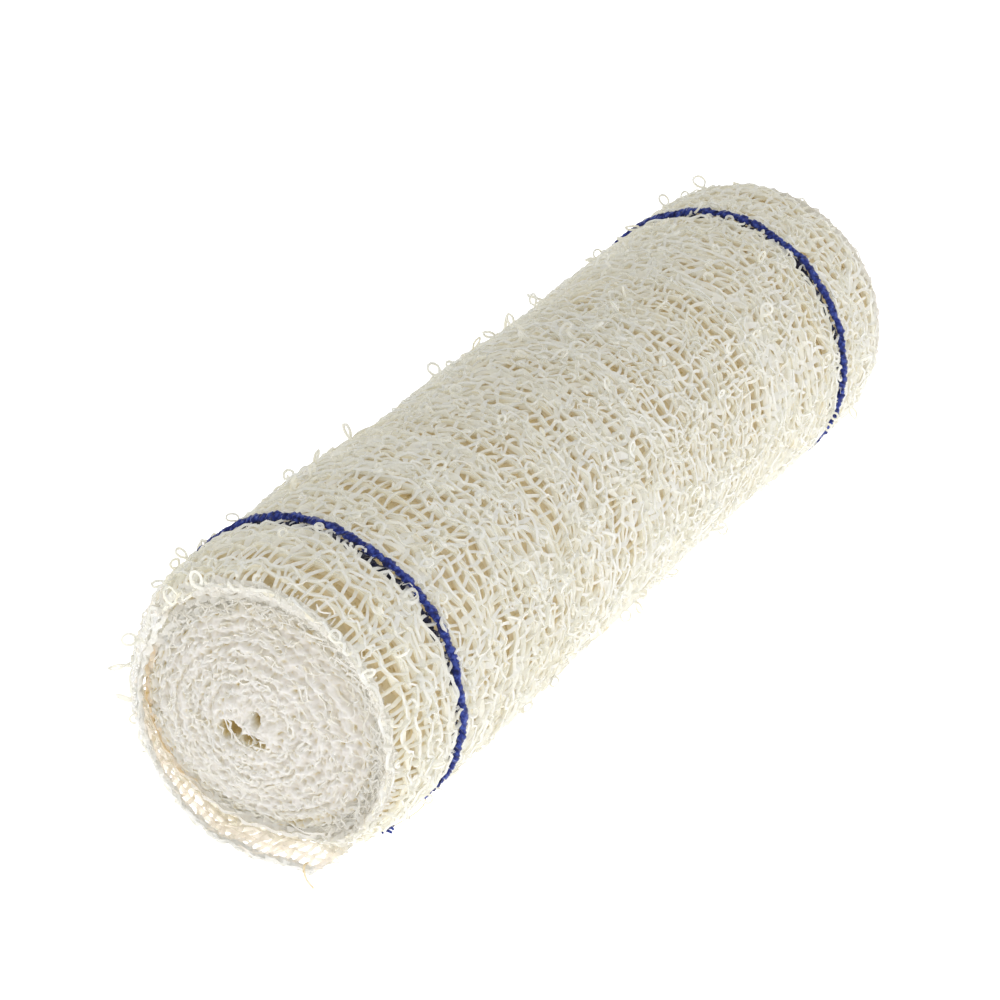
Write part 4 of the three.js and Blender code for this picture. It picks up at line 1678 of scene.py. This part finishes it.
@dataclass(frozen=True)
class CottonFinish:
    """Soft undyed cotton, with painted light where it stands up and painted shade, tanner, in the depth of
    the weave and on a thread's sides.
    """

    name: str

    # Colours from the depth of the weave outwards, the places of the middle two, and the shades they span;
    # the deep and tan ones are partly the cotton's own tone and partly painted shade of the weave's depth
    deep: Colour = (0.62, 0.49, 0.24)
    tan: Colour = (0.85, 0.765, 0.535)
    cream: Colour = (0.892, 0.879, 0.795)
    white: Colour = (0.872, 0.877, 0.858)
    tan_at: float = 0.22
    cream_at: float = 0.55
    shades: tuple[float, float] = (-0.4, 1.05)

    # Soft patches, golden flecks that are a painted shade of the small gaps between fibres, and fine grain:
    # how many lie in a metre, and how strong they are
    patch_scale: float = 420.0
    patches: float = 0.3
    fleck_scale: float = 1500.0
    fleck_range: tuple[float, float] = (0.56, 0.68)
    flecks: float = 0.12
    grain: float = 5200.0
    grain_depth: float = 0.00015
    relief: float = 0.4

    # How the surface takes the light, and the share of it that comes through
    roughness: float = 0.92
    sheen: float = 0.1
    sheen_roughness: float = 0.5
    gloss: float = 0.15
    glow: float = 0.5

    # Painted shade on a thread's sides and painted light on its front, by how the light falls on it
    # How much darker a thread's sides are and how much lighter its front is, between which shares of facing
    # out of the roll, and how much facing round the roll or out of its ends counts for that
    sides: float = 0.34
    painted_front_light: float = 0.35
    turned: tuple[float, float] = (0.1, 0.95)
    rounded: float = 1.0
    ended: float = 0.0

    # Painted light of the near end, where light comes through the loose turn: its tint, and where along the
    # roll, in metres, it starts and is whole
    near_painted_light: Colour = (1.0, 1.0, 1.0)
    near_from: float = -0.062
    near_whole: float = -0.072

    def _paint_near_light(self, nodes: NodeMaker, colour: Socket) -> Socket:
        """Paints light on the colour towards the near end, where light comes through the loose turn.

        Args:
            nodes: The material's nodes.
            colour: The colour.

        Returns:
            The tinted colour.
        """
        x = nodes.add("SeparateXYZ", {0: nodes.place}, "X")
        reach = {"From Min": self.near_from, "From Max": self.near_whole}
        share = nodes.add("MapRange", {**reach, "Value": x}, "Result")
        more = tuple(part - 1 for part in self.near_painted_light)
        factor = nodes.add("VectorMath", {0: share, 1: more, 2: (1, 1, 1)}, operation="MULTIPLY_ADD")
        return nodes.add("VectorMath", {0: colour, 1: factor}, operation="MULTIPLY")

    def _painted_side_shade(self, nodes: NodeMaker) -> Socket:
        """Paints shade on a thread by how far it faces out of the roll: its sides darker and yellower, its
        front lighter, as painted light and shade.

        Args:
            nodes: The material's nodes.

        Returns:
            What the painted shade of its sides and the painted light of its front add.
        """
        place = nodes.add("NewGeometry", {}, "Position")
        normal = place.node.outputs["Normal"]
        to_axis = (0, -AXIS_Y * MM, -AXIS_HEIGHT * MM)
        from_axis = nodes.add("VectorMath", {0: place, 1: (0, 1, 1), 2: to_axis}, operation="MULTIPLY_ADD")
        outward = nodes.add("VectorMath", {0: from_axis}, operation="NORMALIZE")
        round_share = nodes.add("VectorMath", {0: outward, 1: normal}, "Value", operation="DOT_PRODUCT")
        round_part = nodes.add("Math", {0: round_share, 1: self.rounded}, operation="MULTIPLY")
        end_share = nodes.add("Math", {0: nodes.add("SeparateXYZ", {0: normal}, "X")}, operation="ABSOLUTE")
        end_part = nodes.add("Math", {0: end_share, 1: self.ended}, operation="MULTIPLY")
        most = nodes.add("Math", {0: round_part, 1: end_part}, operation="MAXIMUM")
        reach = {"From Min": self.turned[0], "From Max": self.turned[1]}
        shades = {"To Min": -self.sides, "To Max": self.painted_front_light * self.sides}
        return nodes.add("MapRange", {**reach, **shades, "Value": most}, "Result")

    def _shade(self, nodes: NodeMaker) -> Socket:
        """Adds the thread's own shade, which holds its painted light and shade, soft patches, golden flecks
        of painted shade and the painted shade of its sides.

        Args:
            nodes: The material's nodes.

        Returns:
            The place on the ramp of colours.
        """
        tint = nodes.add("Attribute", {}, "Fac")
        tint.node.attribute_name = TINT
        patch = nodes.noise(self.patch_scale, detail=3.0)
        spread = {1: self.patches, 2: -self.patches / 2}
        uneven = nodes.add("Math", {0: patch, **spread}, operation="MULTIPLY_ADD")
        reach = {"From Min": self.fleck_range[0], "From Max": self.fleck_range[1], "To Max": -self.flecks}
        fleck = nodes.add("MapRange", {**reach, "Value": nodes.noise(self.fleck_scale, detail=2.0)}, "Result")
        mottled = nodes.add("Math", {0: uneven, 1: fleck})
        turned = nodes.add("Math", {0: mottled, 1: self._painted_side_shade(nodes)})
        shade = nodes.add("Math", {0: tint, 1: turned})
        least, most = self.shades
        return nodes.add("MapRange", {"From Min": least, "From Max": most, "Value": shade}, "Result")

    def make(self) -> bpy.types.Material:
        """Puts the material together.

        Returns:
            The material.
        """
        nodes = NodeMaker(self.name)
        stops = ((0.0, self.deep), (self.tan_at, self.tan), (self.cream_at, self.cream), (1.0, self.white))
        colour = self._paint_near_light(nodes, nodes.ramp(self._shade(nodes), stops))
        nodes.feed(nodes.shader, {
            "Base Color": colour, "Roughness": self.roughness, "Specular IOR Level": self.gloss,
            "Sheen Weight": self.sheen, "Sheen Roughness": self.sheen_roughness,
        })
        nodes.roughen(nodes.noise(self.grain, detail=2.0), self.relief, self.grain_depth)
        through = nodes.add("BsdfTranslucent", {"Color": colour})
        mixed = nodes.add("MixShader", {"Fac": self.glow, 1: nodes.shader.outputs["BSDF"], 2: through})
        nodes.feed(nodes.tree.nodes["Material Output"], {"Surface": mixed})
        return nodes.material


@dataclass(frozen=True)
class BlueFinish:
    """Cotton dyed a deep blue, mottled at random between a near black and a lighter blue, which are partly
    the dye's own unevenness and partly painted shade between its plies and painted highlight.
    """

    name: str
    dark: Colour = (0.0015, 0.003, 0.03)
    blue: Colour = (0.011, 0.022, 0.17)
    light: Colour = (0.075, 0.12, 0.43)
    grain: float = 1500.0
    grain_depth: float = 0.0002
    relief: float = 0.4
    roughness: float = 0.85
    sheen: float = 0.3
    gloss: float = 0.2

    def make(self) -> bpy.types.Material:
        """Puts the material together.

        Returns:
            The material.
        """
        nodes = NodeMaker(self.name)
        grain = nodes.noise(self.grain, detail=3.0)
        nodes.feed(nodes.shader, {
            "Base Color": nodes.ramp(grain, ((0.3, self.dark), (0.5, self.blue), (0.75, self.light))),
            "Roughness": self.roughness, "Sheen Weight": self.sheen, "Specular IOR Level": self.gloss,
        })
        nodes.roughen(grain, self.relief, self.grain_depth)
        return nodes.material


@dataclass
class Studio:
    """The pale floor, the soft light and the camera."""

    # The camera's place in millimetres and its axes, where the photograph was taken from
    eye: Place = (-442.326, -228.341, 254.171)
    right: Place = (0.46635, -0.8846, 0.0)
    above: Place = (0.37738, 0.19895, 0.90444)
    ahead: Place = (0.80007, 0.42178, -0.4266)
    lens: float = 144.0
    film: float = 36.0

    # Metres from here on: what the camera sees lies between two distances
    seen: tuple[float, float] = (0.01, 20.0)
    floor_radius: float = 6.0
    floor_sides: int = 64
    floor_colour: Colour = (0.86, 0.86, 0.86)
    floor_glow: float = 1.2
    glow_colour: Colour = (1.0, 0.995, 1.05)
    sky: float = 0.72

    # Where the lamps point, and the name, place, size, power and colour of each
    aim: Place = (0.0, 0.0, 0.02)
    lamps: tuple[tuple[str, Place, float, float, Colour], ...] = (
        ("key", (0.1, -1.3, 0.75), 1.2, 3.2, (1.0, 0.99, 1.09)),
        ("front", (-1.3, -0.3, 0.7), 1.0, 2.45, (1.0, 0.99, 1.0)),
        ("fill", (-1.1, 0.7, 0.2), 0.9, 1.0, (1.0, 1.0, 0.98)),
    )

    def floor(self) -> None:
        """Lays the floor, a wide pale disc that glows a little, as a lit white table does."""
        mesh = bpy.data.meshes.new("floor")
        work = bmesh.new()
        bmesh.ops.create_circle(
            work, cap_ends=True, segments=self.floor_sides, radius=self.floor_radius,
        )
        work.to_mesh(mesh)
        work.free()
        floor = place_piece("floor", mesh)
        nodes = NodeMaker("pale_floor")
        nodes.feed(nodes.shader, {
            "Base Color": (*self.floor_colour, 1), "Roughness": 1.0, "Specular IOR Level": 0.0,
            "Emission Color": (*self.glow_colour, 1), "Emission Strength": self.floor_glow,
        })
        mesh.materials.append(nodes.material)

    def light(self) -> None:
        """Lights the scene from all sides, most from the right of the camera."""
        world = bpy.data.worlds.new("studio")
        bpy.context.scene.world = world
        world.use_nodes = True
        background = world.node_tree.nodes["Background"]
        background.inputs["Color"].default_value = (1, 1, 1, 1)
        background.inputs["Strength"].default_value = self.sky
        for name, place, size, power, colour in self.lamps:
            lamp = bpy.data.lights.new(name, "AREA")
            lamp.energy, lamp.size, lamp.color = power, size, colour
            holder = bpy.data.objects.new(name, lamp)
            holder.location = place
            holder.rotation_euler = (Vector(self.aim) - Vector(place)).to_track_quat("-Z", "Y").to_euler()
            bpy.context.scene.collection.objects.link(holder)

    def camera(self) -> None:
        """Puts the camera where the photograph was taken from."""
        data = bpy.data.cameras.new("camera")
        data.lens, data.sensor_width = self.lens, self.film
        data.clip_start, data.clip_end = self.seen
        camera = bpy.data.objects.new("camera", data)
        axes = Matrix((self.right, self.above, tuple(-c for c in self.ahead))).transposed()
        camera.matrix_world = Matrix.Translation(Vector(self.eye) * MM) @ axes.to_4x4()
        bpy.context.scene.collection.objects.link(camera)
        bpy.context.scene.camera = camera
        bpy.context.scene.view_settings.view_transform = "Standard"


def finish_piece(
    piece: bpy.types.Object, material: bpy.types.Material, shades: bool = False
) -> bpy.types.Object:
    """Dresses a piece and hangs it on the roll.

    Args:
        piece: The piece.
        material: Its finish.
        shades: Whether it throws a shadow. The thin threads throw none, as light goes through their fluff.

    Returns:
        The piece.
    """
    piece.data.materials.append(material)
    piece.visible_shadow = shades
    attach(piece, BODY)
    count = sum(len(face.vertices) - 2 for face in piece.data.polygons)
    LOG.info("%s: %d triangles", piece.name, count)
    return piece


def laid(*layers: Callable[[YarnBatch], None]) -> YarnBatch:
    """Starts a batch of threads.

    Args:
        layers: The methods that lay threads in it, in their order.

    Returns:
        The batch.
    """
    batch = YarnBatch()
    for lay in layers:
        lay(batch)
    return batch


def main() -> None:
    """Builds the bandage, piece by piece."""
    logging.basicConfig(level=logging.INFO, format="%(name)s %(message)s")
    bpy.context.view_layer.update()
    studio = Studio()
    studio.floor()
    studio.light()
    studio.camera()
    roll = RollForm()
    cloth = ClothForm(roll)
    weave = CrepeWeave(cloth)
    LOG.info("strip %.1f mm long, root at %.1f", cloth.length, cloth.root)
    # Lighter and darker copies of one cotton, as painted light and shade: the loose turn and its hem are
    # lighter towards the near end, where light comes through them, and the face's and the rim's thin threads
    # are darker than the packed turns under them, as they catch more of the lamps
    cotton = CottonFinish("crepe_cotton").make()
    face_cotton = CottonFinish(
        "face_cotton", tan=(0.87, 0.765, 0.55), cream=(0.905, 0.885, 0.805), white=(0.89, 0.888, 0.862),
        flecks=0.3, grain=4200.0, rounded=0.0, ended=1.0,
    ).make()
    loose_cotton = CottonFinish("loose_cotton", near_painted_light=(1.13, 1.1, 1.12)).make()
    hem_cotton = CottonFinish("hem_cotton", near_painted_light=(1.01, 1.01, 1.03)).make()
    packed_cotton = CottonFinish(
        "packed_cotton", cream=(0.91, 0.89, 0.805), white=(0.955, 0.952, 0.925),
        relief=0.6, grain=3000.0, flecks=0.3, sides=0.0,
    ).make()
    edge_cotton = CottonFinish(
        "edge_cotton", tan=(0.85, 0.72, 0.51), cream=(0.83, 0.795, 0.71), white=(0.82, 0.812, 0.765),
        flecks=0.3, ended=1.0,
    ).make()
    blue = BlueFinish("blue_cotton").make()
    shaded_blue = BlueFinish(
        "shaded_blue", dark=(0.001, 0.001, 0.008), blue=(0.002, 0.003, 0.02), light=(0.004, 0.008, 0.05),
    ).make()

    packed = finish_piece(PackedTurns(roll).build("packed_turns"), packed_cotton, shades=True)
    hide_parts("roll")

    split = cloth.root + SPLIT_PAST_ROOT
    start = cloth.along_at(NET_FROM)
    outer = NetMaker(weave, start, split)
    finish_piece(laid(outer.bands).build("outer_bands", 4), cotton)
    finish_piece(laid(outer.weft_threads).build("outer_weft", 3), cotton)
    # Painted shade: the inner turn's net and the net of the turn beneath are tanner, as they lie deeper
    inner = NetMaker(
        weave, 0, cloth.along_at(INNER_TO), band_radius=0.55, plies=1, weft_radius=0.25, tint=0.62,
        skip=2, smooth=False,
    )
    finish_piece(laid(inner.bands, inner.weft_threads).build("inner_turn", 3), cotton)
    beneath = NetMaker(
        weave, start, split - 1.0, depths=Depths(-1.12, 0.08), band_radius=0.5, plies=1, weft_radius=0.25,
        tint=0.1, seed=2, skip=2, smooth=False,
    )
    finish_piece(laid(beneath.bands, beneath.weft_threads).build("turn_beneath", 3), cotton)
    # Painted light: the loose turn's net is whiter, as light comes through it
    loose = NetMaker(weave, split, cloth.length, band_radius=0.54, plies=1, fill=0.82, tint=0.84)
    sheet = finish_piece(laid(loose.bands, loose.weft_threads).build("loose_crepe", 3), loose_cotton)
    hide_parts("loose_end")

    strands = laid(NetMaker(weave, start, cloth.length).strand_lines)
    finish_piece(strands.build("warp_strands", 3), cotton)
    finish_piece(laid(SnarlMaker(weave).lay).build("snarls", 3), cotton)
    coils = laid(*(maker(roll, end).lay for end in End for maker in (CoilEdges, Heart)))
    finish_piece(coils.build("coil_edges", 3), face_cotton)

    wound_edges, free_edges = YarnBatch(), YarnBatch()
    for end in End:
        edge = Selvedge(weave, end)
        edge.lay(wound_edges, free_edges)
        edge.spill(wound_edges)
    finish_piece(wound_edges.build("selvedges", 3), edge_cotton)
    hem = finish_piece(free_edges.build("loose_selvedges", 3), hem_cotton)
    cut = CutEnd(weave)
    finish_piece(laid(Fuzz(weave).lay, cut.lay).build("fuzz", 3), face_cotton)

    markers, sunk = YarnBatch(), YarnBatch()
    for band in weave.blue:
        MarkerThread(weave, band, cloth.length + MARKER_PAST_CUT).run(markers)
        MarkerThread(weave, band, cloth.root - 1.0, height=-0.85, shift=-0.95, spread=0.42).run(sunk)
    cut.lay_blue(markers)
    finish_piece(markers.build("marker_threads", 5, smooth=True), blue)
    finish_piece(sunk.build("markers_beneath", 3), shaded_blue)


if __name__ == "__main__":
    main()
